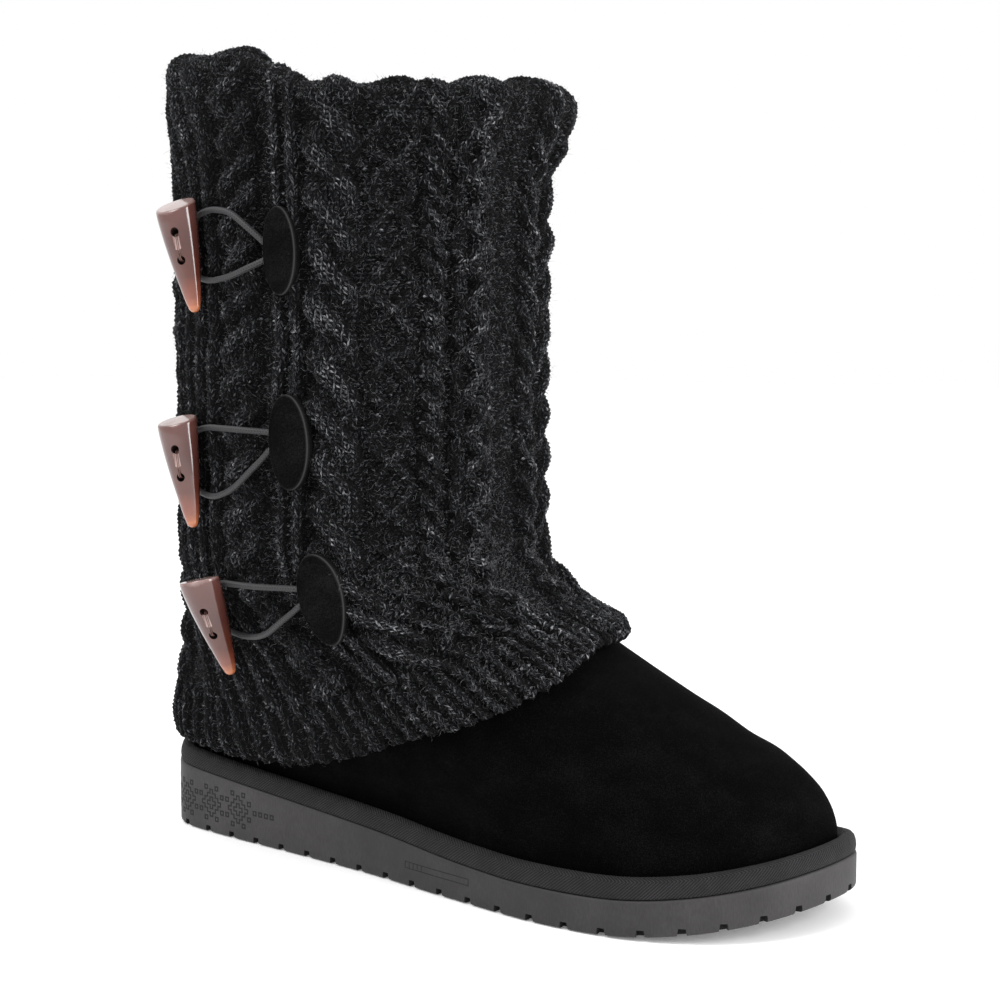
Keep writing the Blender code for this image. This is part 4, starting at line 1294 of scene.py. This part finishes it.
def knit_surface(angle):
    """Rows of the knit from inside the collar, over the fold, down to the hem and back up."""
    a = angle[None]
    rim = rim_height(a)
    out = upper_outward(a, np.full(a.shape, 2.0))
    base = upper_point(a, 2.0)
    lip_face = -(UPPER_WALL + KNIT_CLEARANCE + KNIT_WALL)
    rows, normals, shown = [], [], []

    def put(place, normal, show):
        place, normal = np.broadcast_arrays(place, normal)
        rows.append(place)
        normals.append(normal)
        shown.append(np.full(len(place), show))

    depth = np.linspace(FOLD_DEPTH, 0.0, LIP_ROWS)[:, None]
    lip = base + out * lip_face
    put(points(lip[..., 0], lip[..., 1], rim - depth), -out, FOLD_RELIEF)
    turn = np.linspace(math.pi, 0.0, FOLD_ROWS + 2)[1:-1, None]
    far = knit_offset(a, 2.0)
    middle, half = (far + lip_face) / 2, (far - lip_face) / 2
    rise = KNIT_WALL + KNIT_CLEARANCE
    up = np.array((0.0, 0.0, 1.0))
    fold = base + out * (middle + half * np.cos(turn))[..., None]
    fold = fold + up * (rise * np.sin(turn))[..., None]
    leans = out * (np.cos(turn) * rise / half)[..., None] + up * np.sin(turn)[..., None]
    put(fold, unit(leans), FOLD_RELIEF)
    shaft = np.linspace(2.0, 1.0, int(WALL_ROWS * 0.63), endpoint=False)
    way = np.concatenate([shaft, np.linspace(1.0, 0.0, WALL_ROWS - len(shaft))])[:, None]
    level = knit_level(a, way)
    show = mix(FOLD_RELIEF, 1.0, ease((2.0 - way[:, 0]) / 0.10))
    put(off_upper(a, level, knit_offset(a, way)), upper_outward(a, level), show)
    hem = knit_level(a, np.zeros(a.shape))
    hem_out = upper_outward(a, hem)
    hem_up = unit(upper_point(a, hem + 0.02) - upper_point(a, hem))
    inner = KNIT_CLEARANCE + HEM_FLARE
    outer = knit_offset(a, 0.0)
    turn = np.linspace(0.0, math.pi, EDGE_ROWS + 2)[1:-1, None]
    middle, half = (outer + inner) / 2, (outer - inner) / 2
    edge = upper_point(a, hem) + hem_out * (middle + half * np.cos(turn))[..., None]
    edge = edge - hem_up * (half * np.sin(turn))[..., None]
    leans = hem_out * np.cos(turn)[..., None] - hem_up * np.sin(turn)[..., None]
    put(edge, leans, 0.5)
    way = np.linspace(0.0, 2.0, BACK_ROWS)[:, None]
    level = knit_level(a, way)
    back = off_upper(a, level, KNIT_CLEARANCE + HEM_FLARE * knit_hem(way) + 0.0 * a)
    put(back, upper_outward(a, level), 0.0)
    inside = base - out * (UPPER_WALL + KNIT_CLEARANCE)
    for lift in (KNIT_CLEARANCE / 2, -FOLD_DEPTH):
        put(points(inside[..., 0], inside[..., 1], rim + lift), out, 0.0)
    put(rows[0][:1], out, 0.0)
    return tuple(np.concatenate(part) for part in (rows, normals, shown))


def knit_troughs(degrees, place):
    """Soft valleys and folds in the knit."""
    z = place[..., 2]
    depth = np.zeros(z.shape)
    for middle, height, half_length, half_width, deep, wander in KNIT_TROUGHS:
        along = (z - height) / half_length
        across = (degrees - middle + wander * along * 0.5) / half_width
        depth += deep * np.exp(-1.2 * along**2) * np.exp(-(across**2))
    return -depth


def make_knit(yarn, shaded):
    """The knitted cover in four widths, each a ground with its stitches' legs laid on it."""
    fuzz_roots = []
    for number, (start, end) in enumerate(zip(KNIT_WIDTHS, KNIT_WIDTHS[1:]), start=1):
        angle = np.radians(np.linspace(start, end, KNIT_ACROSS + 1))
        degrees = np.degrees(angle)
        place, normal, shown = knit_surface(angle)
        walk = np.linalg.norm(np.diff(place, axis=0), axis=-1)
        walk = np.concatenate([np.zeros((1, len(angle))), np.cumsum(walk, axis=0)])
        hem_row = LIP_ROWS + FOLD_ROWS + WALL_ROWS
        down = walk - walk[LIP_ROWS + FOLD_ROWS // 2]
        wavy = down + 0.0022 * value_noise(degrees[None] / 7.5, down / 0.030 + 40, 3, 48)
        relief, lean, purl = wandering_relief(wavy, down, walk[hem_row] - walk, degrees)
        lumps = 0.0008 * value_noise(degrees[None] / 10, down / 0.013 + 20, 1, 36)
        lumps = lumps + 0.0004 * value_noise(degrees[None] / 3.75, down / 0.005 + 70, 2, 96)
        height = relief - GROUND_DEPTH + lumps + knit_troughs(degrees[None], place)
        height = np.maximum(height, -KNIT_WALL * 0.85)
        place = place + normal * (height * shown[:, None])[..., None]
        rolls = 0.0013 * value_noise(degrees[None] / 10, np.zeros((1, 1)) + 3, 6, 36)
        near_top = ease((place[..., 2] - rim_height(angle)[None] + 0.006) / 0.010)
        place[..., 2] += rolls * near_top
        wales = degrees[None] / WALE_DEGREES
        width = sheet_of(
            f"knit_width_{number}", place, (wales, wavy / STITCH_ROW),
            out_of=(SHAFT_CENTRE - HEEL_CENTRE, 0.0, 0.16),
        )
        # the ground between the legs takes the darker yarn: painted shade
        give(width, shaded)
        if number == 1:
            ride(width, "charcoal_knit", "knit_cover")
        else:
            ride(width, "charcoal_knit")
        shown_rows = slice(0, hem_row + EDGE_ROWS // 2)
        grids = [grid[shown_rows] for grid in (place, normal, down, lean, purl, height)]
        make_legs(number, degrees, *grids, yarn)
        fuzz_roots.append((place[shown_rows], normal[shown_rows]))
    return fuzz_roots


def wandering_relief(wavy, down, to_hem, degrees):
    """Relief where the columns wander a little to the side, and slant under the collar."""
    height, lean, purl = knit_relief(degrees, wavy, to_hem)
    bulge = np.sin(math.pi * np.clip((degrees[None] - 4) / 84, 0.0, 1.0)) ** 2
    slant = COLLAR_SLANT * bulge * ease(1 - down / 0.080)
    per_metre = np.gradient(slant, axis=0) / np.gradient(down, axis=0)
    lean = lean - np.radians(per_metre) * SHAFT_WIDTH / 2
    pull = degrees[None] + 0.9 * value_noise(degrees[None] / 15, down / 0.020 + 90, 4, 24) + slant
    index = np.arange(len(degrees), dtype=float)
    shift = np.interp(pull.ravel(), degrees, index).reshape(pull.shape)
    low = np.clip(np.floor(shift).astype(int), 0, len(degrees) - 2)
    row = np.arange(down.shape[0])[:, None]
    height = mix(height[row, low], height[row, low + 1], shift - low)
    nearest = np.clip(np.rint(shift).astype(int), 0, len(degrees) - 1)
    return height, lean[row, nearest], purl[row, nearest]


def between(grid, row, column):
    """A grid's values at places between its rows and columns."""
    i = np.clip(np.floor(row).astype(int), 0, grid.shape[0] - 2)
    j = np.clip(np.floor(column).astype(int), 0, grid.shape[1] - 2)
    s, t = np.clip(row - i, 0.0, 1.0), np.clip(column - j, 0.0, 1.0)
    if grid.ndim == 3:
        s, t = s[:, None], t[:, None]
    upper = mix(grid[i, j], grid[i, j + 1], t)
    lower = mix(grid[i + 1, j], grid[i + 1, j + 1], t)
    return mix(upper, lower, s)


def make_legs(number, degrees, place, normal, down, lean, purl, height, yarn):
    """Legs of yarn: two in a V on the face stitches, one level bump on the purl ones."""
    rng = np.random.default_rng(20 + number)
    wale = (np.arange(round(360 / WALE_DEGREES)) + 0.5) * WALE_DEGREES
    wale = wale[(wale > degrees[0]) & (wale < degrees[-1])]
    rows, columns = [], []
    for column in np.interp(wale, degrees, np.arange(len(degrees))):
        near = down[:, int(round(column))]
        steps = np.arange(LEG_FIRST, near[-1], STITCH_ROW)
        rows.append(np.interp(steps, near, np.arange(len(near))))
        columns.append(np.full(len(steps), column))
    row, column = np.concatenate(rows), np.concatenate(columns)
    side = np.tile([1.0, -1.0], len(row))
    row, column = np.repeat(row, 2), np.repeat(column, 2)
    is_purl = between(purl, row, column) > 0.5
    rows_per_stitch = STITCH_ROW / np.abs(np.gradient(down[:, 0])).mean()
    columns_per_wale = WALE_DEGREES / (degrees[1] - degrees[0])
    course = np.repeat(np.concatenate([np.arange(len(part)) for part in rows]), 2)
    column = column + columns_per_wale * np.where(is_purl, 0.5 * (course % 2), 0.26 * side)
    column = column + columns_per_wale * 0.08 * rng.normal(size=len(row))
    row = row + rows_per_stitch * 0.12 * rng.normal(size=len(row))
    keep = (column > 0) & (column < len(degrees) - 1) & (row > 0) & (row < len(down) - 1)
    keep &= ~(is_purl & (side < 0))
    row, column, side, is_purl = row[keep], column[keep], side[keep], is_purl[keep]
    count = len(row)
    centre = between(place, row, column)
    fall = unit(between(np.gradient(place, axis=0), row, column))
    aside = unit(between(np.gradient(place, axis=1), row, column))
    out = np.cross(aside, fall)
    out = unit(out * np.sign((out * between(normal, row, column)).sum(-1))[:, None])
    way = unit(fall + aside * between(lean, row, column)[:, None])
    aside = unit(aside - way * (aside * way).sum(-1, keepdims=True))
    turn = np.radians(np.where(is_purl, 84.0, 25.0) + rng.normal(0.0, 7.0, count))
    along = way * np.cos(turn)[:, None] - aside * (side * np.sin(turn))[:, None]
    across = np.cross(out, along)
    half_length = np.where(is_purl, 0.48, 0.56) * LEG_LENGTH * rng.uniform(0.86, 1.14, count)
    half_width = np.where(is_purl, 0.78, 0.56) * LEG_WIDTH * rng.uniform(0.85, 1.15, count)
    rise = np.where(is_purl, 1.5, 1.1) * LEG_HEIGHT * rng.uniform(0.8, 1.25, count)
    sunk = out * 0.0003
    tip, rim = along * half_length[:, None], across * half_width[:, None]
    body = (centre - tip - sunk, centre - rim - sunk, centre + out * rise[:, None],
            centre + rim - sunk, centre + tip - sunk)
    corners = np.stack(body, axis=1)
    faces = np.array(((0, 2, 1), (0, 3, 2), (0, 1, 3), (4, 1, 2), (4, 2, 3), (4, 3, 1)))
    faces = (faces[None] + np.arange(count)[:, None, None] * 5).reshape(-1, 3)
    flat = corners.reshape(-1, 3) - (HEEL_CENTRE, 0.0, 0.0)
    mesh = bpy.data.meshes.new(f"knit_legs_{number}")
    mesh.from_pydata(flat, [], faces)
    start = rng.uniform(0.0, 60.0, (count, 1))
    u = start + np.array((0.0, 0.5, 0.5, 0.5, 1.0))
    v = start * 0.37 + np.array((0.0, -0.5, 0.0, 0.5, 0.0))
    corner = faces.ravel()
    layer = mesh.uv_layers.new(name="pattern")
    uv = np.stack([u.ravel()[corner], v.ravel()[corner]], axis=-1)
    layer.data.foreach_set("uv", uv.astype(np.float32).ravel())
    tone = mesh.attributes.new("tone", "FLOAT", "POINT")
    # Painted shade: a leg is darker the deeper it lies in the relief and lighter the higher; purl
    # legs are made lighter and each leg varies at random
    raised = np.clip(between(height, row, column) / GROUND_DEPTH, -1.2, 0.8)
    shade = 0.55 * raised + 0.20 + rng.uniform(-0.45, 0.45, count) + 0.36 * is_purl
    tone.data.foreach_set("value", np.repeat(shade, 5).astype(np.float32))
    mesh.shade_smooth()
    legs = bpy.data.objects.new(f"knit_legs_{number}", mesh)
    bpy.context.scene.collection.objects.link(legs)
    give(legs, yarn)
    ride(legs, "charcoal_knit")


def make_fuzz(roots, material):
    """Loose fibres lying over the yarn and standing off it, each a thin bent strip."""
    for number, (place, normal) in enumerate(roots, start=1):
        rng = np.random.default_rng(10 + number)
        row = rng.integers(2, place.shape[0] - 2, FIBRES)
        column = rng.integers(0, place.shape[1], FIBRES)
        root, out = place[row, column], normal[row, column]
        root = root + out * LEG_HEIGHT
        swirl = unit(rng.normal(size=(FIBRES, 3)))
        along = unit(swirl - out * (swirl * out).sum(-1, keepdims=True) * 0.85)
        length = rng.uniform(0.0012, 0.0038, (FIBRES, 1))
        lift = rng.uniform(0.0, 1.0, (FIBRES, 1)) ** 3 * 0.7
        middle = root + along * length * 0.5 + out * length * lift * 0.6
        tip = root + unit(along + 0.45 * rng.normal(size=(FIBRES, 3))) * length * 0.9
        tip = tip + out * length * lift * 0.5
        side = unit(np.cross(along, out)) * rng.uniform(0.025, 0.055, (FIBRES, 1)) * MM
        corners = np.stack([root, middle + side, middle - side, tip], axis=1).reshape(-1, 3)
        faces = np.array(((0, 1, 2), (1, 3, 2)))[None] + np.arange(FIBRES)[:, None, None] * 4
        mesh = bpy.data.meshes.new(f"knit_fuzz_{number}")
        mesh.from_pydata(corners - (HEEL_CENTRE, 0.0, 0.0), [], faces.reshape(-1, 3))
        fuzz = bpy.data.objects.new(f"knit_fuzz_{number}", mesh)
        bpy.context.scene.collection.objects.link(fuzz)
        give(fuzz, material)
        ride(fuzz, "charcoal_knit")


# Toggles, loops and patches


def side_frame(x, height):
    step = TOGGLE_LENGTH / 2
    base = side_point(x, height)[0]
    ahead = unit(side_point(x + step / 2, height)[0] - side_point(x - step / 2, height)[0])
    climb = side_point(x, height + step)[0] - side_point(x, height - step)[0]
    out = unit(np.cross(ahead, climb))
    return base, ahead, out, np.cross(out, ahead)


def toggle_girth(down):
    share, bend = toggle_width_at(down), toggle_bend_at(down)
    half_width = np.maximum(TOGGLE_WIDTH * share, TOGGLE_TIP) / 2
    half_thick = np.maximum(TOGGLE_THICKNESS * share, TOGGLE_TIP) / 2
    return half_width, half_thick, TOGGLE_THICKNESS * bend


def toggle_stand(place, lean, cord):
    base, ahead, out, climb = place
    turn = math.radians(lean)
    stand = LOOP_CORD + TOGGLE_THICKNESS / 2
    for point in cord:
        away = point - base
        across = away.dot(ahead) * math.cos(turn) - away.dot(climb) * math.sin(turn)
        up = away.dot(ahead) * math.sin(turn) + away.dot(climb) * math.cos(turn)
        half_width, half_thick, bend = toggle_girth(0.5 - up / TOGGLE_LENGTH)
        if abs(up) < TOGGLE_LENGTH / 2 and abs(across) < half_width:
            back = half_thick * math.sqrt(1 - (across / half_width) ** 2) + bend
            stand = max(stand, away.dot(out) + LOOP_CORD / 2 + GAP + back)
    return stand


def make_toggle(number, x, height, lean, cord, horn, hole_shade, thread):
    """Horn with a sawn top, two sewing holes, a groove between them and its thread."""
    place = side_frame(x, height)
    base, ahead, out, climb = place
    centre = base + out * (toggle_stand(place, lean, cord) + 0.0005)
    turn = math.radians(lean)
    local_x = ahead * math.cos(turn) - climb * math.sin(turn)
    local_z = ahead * math.sin(turn) + climb * math.cos(turn)

    roll = math.radians(TOGGLE_ROLL)
    front = out * math.cos(roll) + local_x * math.sin(roll)
    wide = local_x * math.cos(roll) - out * math.sin(roll)

    def world(px, py, pz):
        return centre + points(px, py, pz) @ np.stack([wide, -front, local_z])

    slope = TOGGLE_CUTS[number - 1]
    around = np.linspace(0.0, TURN, 65)
    down = np.concatenate([[0.0, 0.006, 0.014], np.linspace(0.025, 0.94, 44)])
    rows, marks = [], []
    # The sawn top's rows are marked 0, which gives them the pale painted highlight of the horn's
    # colours
    for share in (0.0, 0.5, 0.90):
        half_width, half_thick, _ = toggle_girth(0.02)
        scale = share * 0.93
        ring_y = half_thick * scale * np.sin(around)
        z = TOGGLE_LENGTH * 0.5 + 0.0003 * (1 - share) + ring_y * slope
        rows.append((half_width * scale * np.cos(around), ring_y, z))
        marks.append(0.0)
    for at in down:
        half_width, half_thick, bend = toggle_girth(max(at, 0.02))
        rounding = 1.0 - 0.06 * max(0.0, 1 - at / 0.014) ** 2
        ring_x = half_width * rounding * np.cos(around)
        ring_y = half_thick * rounding * np.sin(around) + bend
        cut = (ring_y - bend) * slope * max(0.0, 1 - at / 0.30)
        rows.append((ring_x, ring_y, TOGGLE_LENGTH * (0.5 - at) + cut))
        marks.append(0.04 + at * 0.96)
    for turn_in in np.linspace(0.15, 1.0, 8):
        half_width, half_thick, bend = toggle_girth(0.94)
        scale = math.cos(math.pi / 2 * turn_in)
        z = TOGGLE_LENGTH * (0.5 - 0.94 - 0.06 * math.sin(math.pi / 2 * turn_in))
        bend_in = mix(bend, TOGGLE_THICKNESS * 0.29, math.sin(math.pi / 2 * turn_in))
        ring_y = half_thick * scale * np.sin(around) + bend_in
        rows.append((half_width * scale * np.cos(around), ring_y, z))
        marks.append(0.98)
    grid = np.array([world(*row) for row in rows])
    name = f"horn_toggle_{number}"
    toggle = sheet_of(name, grid, (around[None] / TURN, np.array(marks)[:, None]))
    give(toggle, horn)
    holes = []
    middle = TOGGLE_LENGTH * TOGGLE_HOLES_UP
    reach, radius = TOGGLE_WIDTH, TOGGLE_HOLE / 2
    ring = [TURN * k / 24 for k in range(24)]
    for side in (0.5, -0.5):
        up = middle + TOGGLE_HOLE_PITCH * side
        low = [world(radius * math.cos(a), -reach, up + radius * math.sin(a)) for a in ring]
        high = [world(radius * math.cos(a), reach, up + radius * math.sin(a)) for a in ring]
        holes.append((low, high))
    # the holes' walls take a dark brown finish: painted shade inside the holes
    cut_with(toggle, holes, hole_shade)
    _, half_thick, bend = toggle_girth(0.5 - TOGGLE_HOLES_UP)
    groove_front = -half_thick + bend
    half = TOGGLE_HOLE * 0.36
    corners = ((-half, middle - TOGGLE_HOLE_PITCH / 2), (half, middle - TOGGLE_HOLE_PITCH / 2),
               (half, middle + TOGGLE_HOLE_PITCH / 2), (-half, middle + TOGGLE_HOLE_PITCH / 2))
    low = [world(a, groove_front - 0.002, b) for a, b in corners]
    high = [world(a, groove_front + TOGGLE_GROOVE, b) for a, b in corners]
    cut_with(toggle, [(low, high)], horn)
    active(toggle)
    bpy.ops.object.shade_smooth_by_angle(angle=math.radians(35))
    ride(toggle, "horn_resin", f"toggle_{number}")
    run = []
    rise = TOGGLE_HOLE_PITCH / 2
    deep = TOGGLE_THICKNESS * 0.9
    for step in np.linspace(0.0, 1.0, 12):
        run.append((0.0, mix(deep, groove_front + 0.0012, step), middle + rise))
    for step in np.linspace(0.0, 1.0, 16)[1:-1]:
        run.append((0.0, groove_front + 0.0004, middle + rise - TOGGLE_HOLE_PITCH * step))
    for step in np.linspace(0.0, 1.0, 12):
        run.append((0.0, mix(groove_front + 0.0012, deep, step), middle - rise))
    for k, offset in enumerate((-0.00028, 0.00028), start=1):
        path = [world(px + offset, py, pz) for px, py, pz in run]
        part = sheet_of(f"toggle_thread_{number}_{k}", tube_rows(path, THREAD_RADIUS, 8))
        give(part, thread)
        ride(part, "elastic_cord")


def patch_edge(x, turn):
    tilt = math.radians(turn)
    half_width, half_length = PATCH_WIDTH / 2, PATCH_LENGTH / 2
    furthest = 0.0
    for rise in (-LOOP_END_SPREAD / 2, LOOP_END_SPREAD / 2):
        a = (math.cos(tilt) / half_width) ** 2 + (math.sin(tilt) / half_length) ** 2
        b = 2 * rise * math.sin(tilt) * math.cos(tilt) * (1 / half_width**2 - 1 / half_length**2)
        c = (rise * math.sin(tilt) / half_width) ** 2
        c = c + (rise * math.cos(tilt) / half_length) ** 2 - 1
        furthest = min(furthest, (-b - math.sqrt(b * b - 4 * a * c)) / (2 * a))
    return x + furthest - LOOP_END_GAP


def loop_path(toggle_x, toggle_height, edge_x, patch_height, strands_apart, per_step):
    middle = toggle_height + TOGGLE_LENGTH * LOOP_MIDDLE
    route = []
    for step, (reach, strand, rise) in enumerate(LOOP_ROUTE):
        end = patch_height + strand * LOOP_END_SPREAD / 2
        start = middle + strand * TOGGLE_LENGTH * strands_apart / 2
        height = mix(middle if reach < 0.0 else end, start, rise)
        route.append((step, mix(toggle_x, edge_x, reach), height))
    at = np.arange((len(route) - 1) * per_step + 1) / per_step
    x, height = curve(route, 1)(at), curve(route, 2)(at)
    angles = side_point(x, height)[1]
    stands = [2 * GAP + LOOP_CORD / 2 + knit_stand(angle, ROPE_REACH) for angle in angles]
    return side_point(x, height, np.array(stands))[0]


def make_loop(number, path, elastic):
    smooth_path = path
    for _ in range(3):
        inner = (smooth_path[:-2] + 2 * smooth_path[1:-1] + smooth_path[2:]) / 4
        smooth_path = np.concatenate([smooth_path[:1], inner, smooth_path[-1:]])
    for end, way in ((0, 1), (-1, -1)):
        run_in = unit(smooth_path[end] - smooth_path[end + way]) * 0.0024
        sunk = smooth_path[end] + run_in + np.array((0.0, 0.0012, 0.0))
        smooth_path = np.insert(smooth_path, len(smooth_path) if end else 0, sunk, axis=0)
    sides = 14
    rows = tube_rows(smooth_path, LOOP_CORD / 2, sides)
    walk = np.concatenate([[0.0], np.cumsum(np.linalg.norm(np.diff(smooth_path, axis=0), axis=1))])
    walk = np.concatenate([walk[:1], walk, walk[-1:]]) / 0.0011
    round_it = np.linspace(0.0, 4.0, sides + 1)
    loop = sheet_of(f"elastic_cord_{number}", rows, (walk[:, None], round_it[None]))
    give(loop, elastic)
    ride(loop, "elastic_cord", f"elastic_loop_{number}")


def make_patch(number, x, height, turn, suede, thread):
    """Suede oval with a skived edge, sewn down round its rim and sunk in the knit."""
    angle = float(side_point(x, height)[1])
    stand = knit_stand(angle, PATCH_WIDTH / SHAFT_DEPTH + ROPE_REACH) + GAP * 2 - PATCH_SINK
    tilt = math.radians(turn)
    around = np.linspace(0.0, TURN, 73)
    narrow, short = PATCH_SHAPES[number - 1]

    def ring(size, lift):
        across = PATCH_WIDTH / 2 * (np.cos(around) * size * narrow + narrow - 0.92)
        up = PATCH_LENGTH / 2 * np.sin(around) * size * short
        side = across * math.cos(tilt) - up * math.sin(tilt)
        rise = across * math.sin(tilt) + up * math.cos(tilt)
        return side_point(x + side, height + rise, stand + lift)[0]

    section = (
        # size, lift, edge
        (0.02, -0.0012, 0.0), (0.985, -0.0012, 0.0), (1.0, 0.0002, 0.0), (1.0, 0.0011, 0.2),
        (0.993, 0.0016, 1.0), (0.978, 0.0019, 0.2), (0.94, 0.0021, 0.0), (0.89, 0.0020, 0.0),
        (0.86, 0.0019, 0.0), (0.83, 0.0020, 0.0), (0.6, 0.0022, 0.0), (0.4, 0.0023, 0.0),
        (0.2, 0.0023, 0.0), (0.001, 0.0023, 0.0),
    )
    rows = [ring(size, lift) for size, lift, _ in section]
    edges = np.array([edge for *_, edge in section])[:, None]
    patch = sheet_of(f"suede_patch_{number}", rows, marks={"edge": edges})
    give(patch, suede)
    ride(patch, "black_suede", f"loop_patch_{number}")
    seam = ring(0.86, 0.0015)
    for_stitch = np.linspace(0.0, 72.0, PATCH_STITCHES * 6 + 1)
    line = np.stack([np.interp(for_stitch, np.arange(73), seam[:, k]) for k in range(3)], axis=-1)
    corners, faces = [], []
    for k in range(PATCH_STITCHES):
        rows_of = tube_rows(line[k * 6:k * 6 + 5], STITCH_RADIUS, 6)
        first = len(corners)
        down_rows, sides = rows_of.shape[0], 6
        corners += [tuple(p - (HEEL_CENTRE, 0, 0)) for p in rows_of[:, :sides].reshape(-1, 3)]
        for row in range(down_rows - 1):
            for side in range(sides):
                n = (side + 1) % sides
                a, b = first + row * sides, first + (row + 1) * sides
                faces.append([a + side, a + n, b + n, b + side])
    stitches = joined(f"patch_stitches_{number}", corners, faces)
    edit(stitches, (bpy.ops.mesh.remove_doubles, {"threshold": 1e-6}))
    give(stitches, thread)
    ride(stitches, "black_suede")


def make_fastenings(horn, hole_shade, clear, black, elastic, suede):
    shaft_back = SHAFT_CENTRE - SHAFT_DEPTH / 2
    for number, row in enumerate(TOGGLE_SETS, start=1):
        toggle_along, toggle_share, lean, patch_along, patch_share, turn, apart = row
        toggle_x = shaft_back + SHAFT_DEPTH * toggle_along
        patch_x = shaft_back + SHAFT_DEPTH * patch_along
        toggle_height, patch_height = toggle_share * BOOT_HEIGHT, patch_share * BOOT_HEIGHT
        route = (toggle_x, toggle_height, patch_edge(patch_x, turn), patch_height, apart)
        make_patch(number, patch_x, patch_height, turn, suede, black)
        make_loop(number, loop_path(*route, 6), elastic)
        cord = loop_path(*route, 2)
        make_toggle(number, toggle_x, toggle_height, lean, cord, horn, hole_shade, clear)


# Studio


def area_light(name, place, target, size, power):
    bpy.ops.object.light_add(type="AREA", location=place)
    light = bpy.context.object
    light.name = name
    light.data.shape = "RECTANGLE"
    light.data.size, light.data.size_y = size
    light.data.energy = power
    light.rotation_mode = "QUATERNION"
    light.rotation_quaternion = (Vector(target) - Vector(place)).to_track_quat("-Z", "Y")


def make_studio():
    scene = bpy.context.scene
    scene.view_settings.view_transform = "Standard"
    scene.view_settings.look = "None"
    camera_data = bpy.data.cameras.new("camera")
    camera = bpy.data.objects.new("camera", camera_data)
    scene.collection.objects.link(camera)
    camera.location = CAMERA_PLACE
    camera.rotation_mode = "QUATERNION"
    ahead = Vector(CAMERA_TARGET) - Vector(CAMERA_PLACE)
    camera.rotation_quaternion = ahead.to_track_quat("-Z", "Y")
    camera_data.lens = CAMERA_LENS
    camera_data.sensor_width = 36.0
    camera_data.shift_x, camera_data.shift_y = CAMERA_SHIFT
    camera_data.clip_start, camera_data.clip_end = 0.01, 50.0
    scene.camera = camera
    bpy.ops.mesh.primitive_plane_add(size=12.0, location=(0.0, 0.0, -0.0002))
    floor = bpy.context.object
    floor.name = "floor"
    material, _, shader = new_material("studio_floor", 0.9, Specular_IOR_Level=0.1)
    shader.inputs["Base Color"].default_value = linear("#fbfbfb")
    shader.inputs["Emission Color"].default_value = (1.0, 1.0, 1.0, 1.0)
    shader.inputs["Emission Strength"].default_value = 0.10
    give(floor, material)
    world = bpy.data.worlds.new("studio")
    scene.world = world
    world.use_nodes = True
    background = world.node_tree.nodes["Background"]
    background.inputs["Color"].default_value = (1.0, 1.0, 1.0, 1.0)
    background.inputs["Strength"].default_value = 1.0
    area_light("key", (-0.35, -0.9, 1.6), (0.05, 0.0, 0.12), (0.7, 0.7), 16.0)
    area_light("side", (1.5, 0.1, 0.6), (0.08, 0.0, 0.12), (0.6, 1.2), 18.0)


def main():
    make_studio()
    suede = black_suede("black_suede_nap", ("#020202", "#040404", "#0e0e0f"))
    patch_suede = black_suede("patch_suede", ("#040404", "#0a0a0a", "#1a1a1b"), True)
    pile = dark_pile()
    yarn = charcoal_heather_yarn()
    make_sole(moulded_foam(), notch_painted_shade())
    make_motif(engraved_line())
    make_band(herringbone_tape())
    make_upper(suede, pile)
    make_insole(pile)
    roots = make_knit(yarn, yarn_in_painted_shade())
    make_fuzz(roots, plain("loose_fibre", ("#0c0c0d", "#77777b"), 0.9))
    horn = (polished_horn(), hole_painted_shade())
    threads = (clear_thread(), black_thread())
    make_fastenings(*horn, *threads, braided_elastic(), patch_suede)
    bpy.context.view_layer.update()


main()
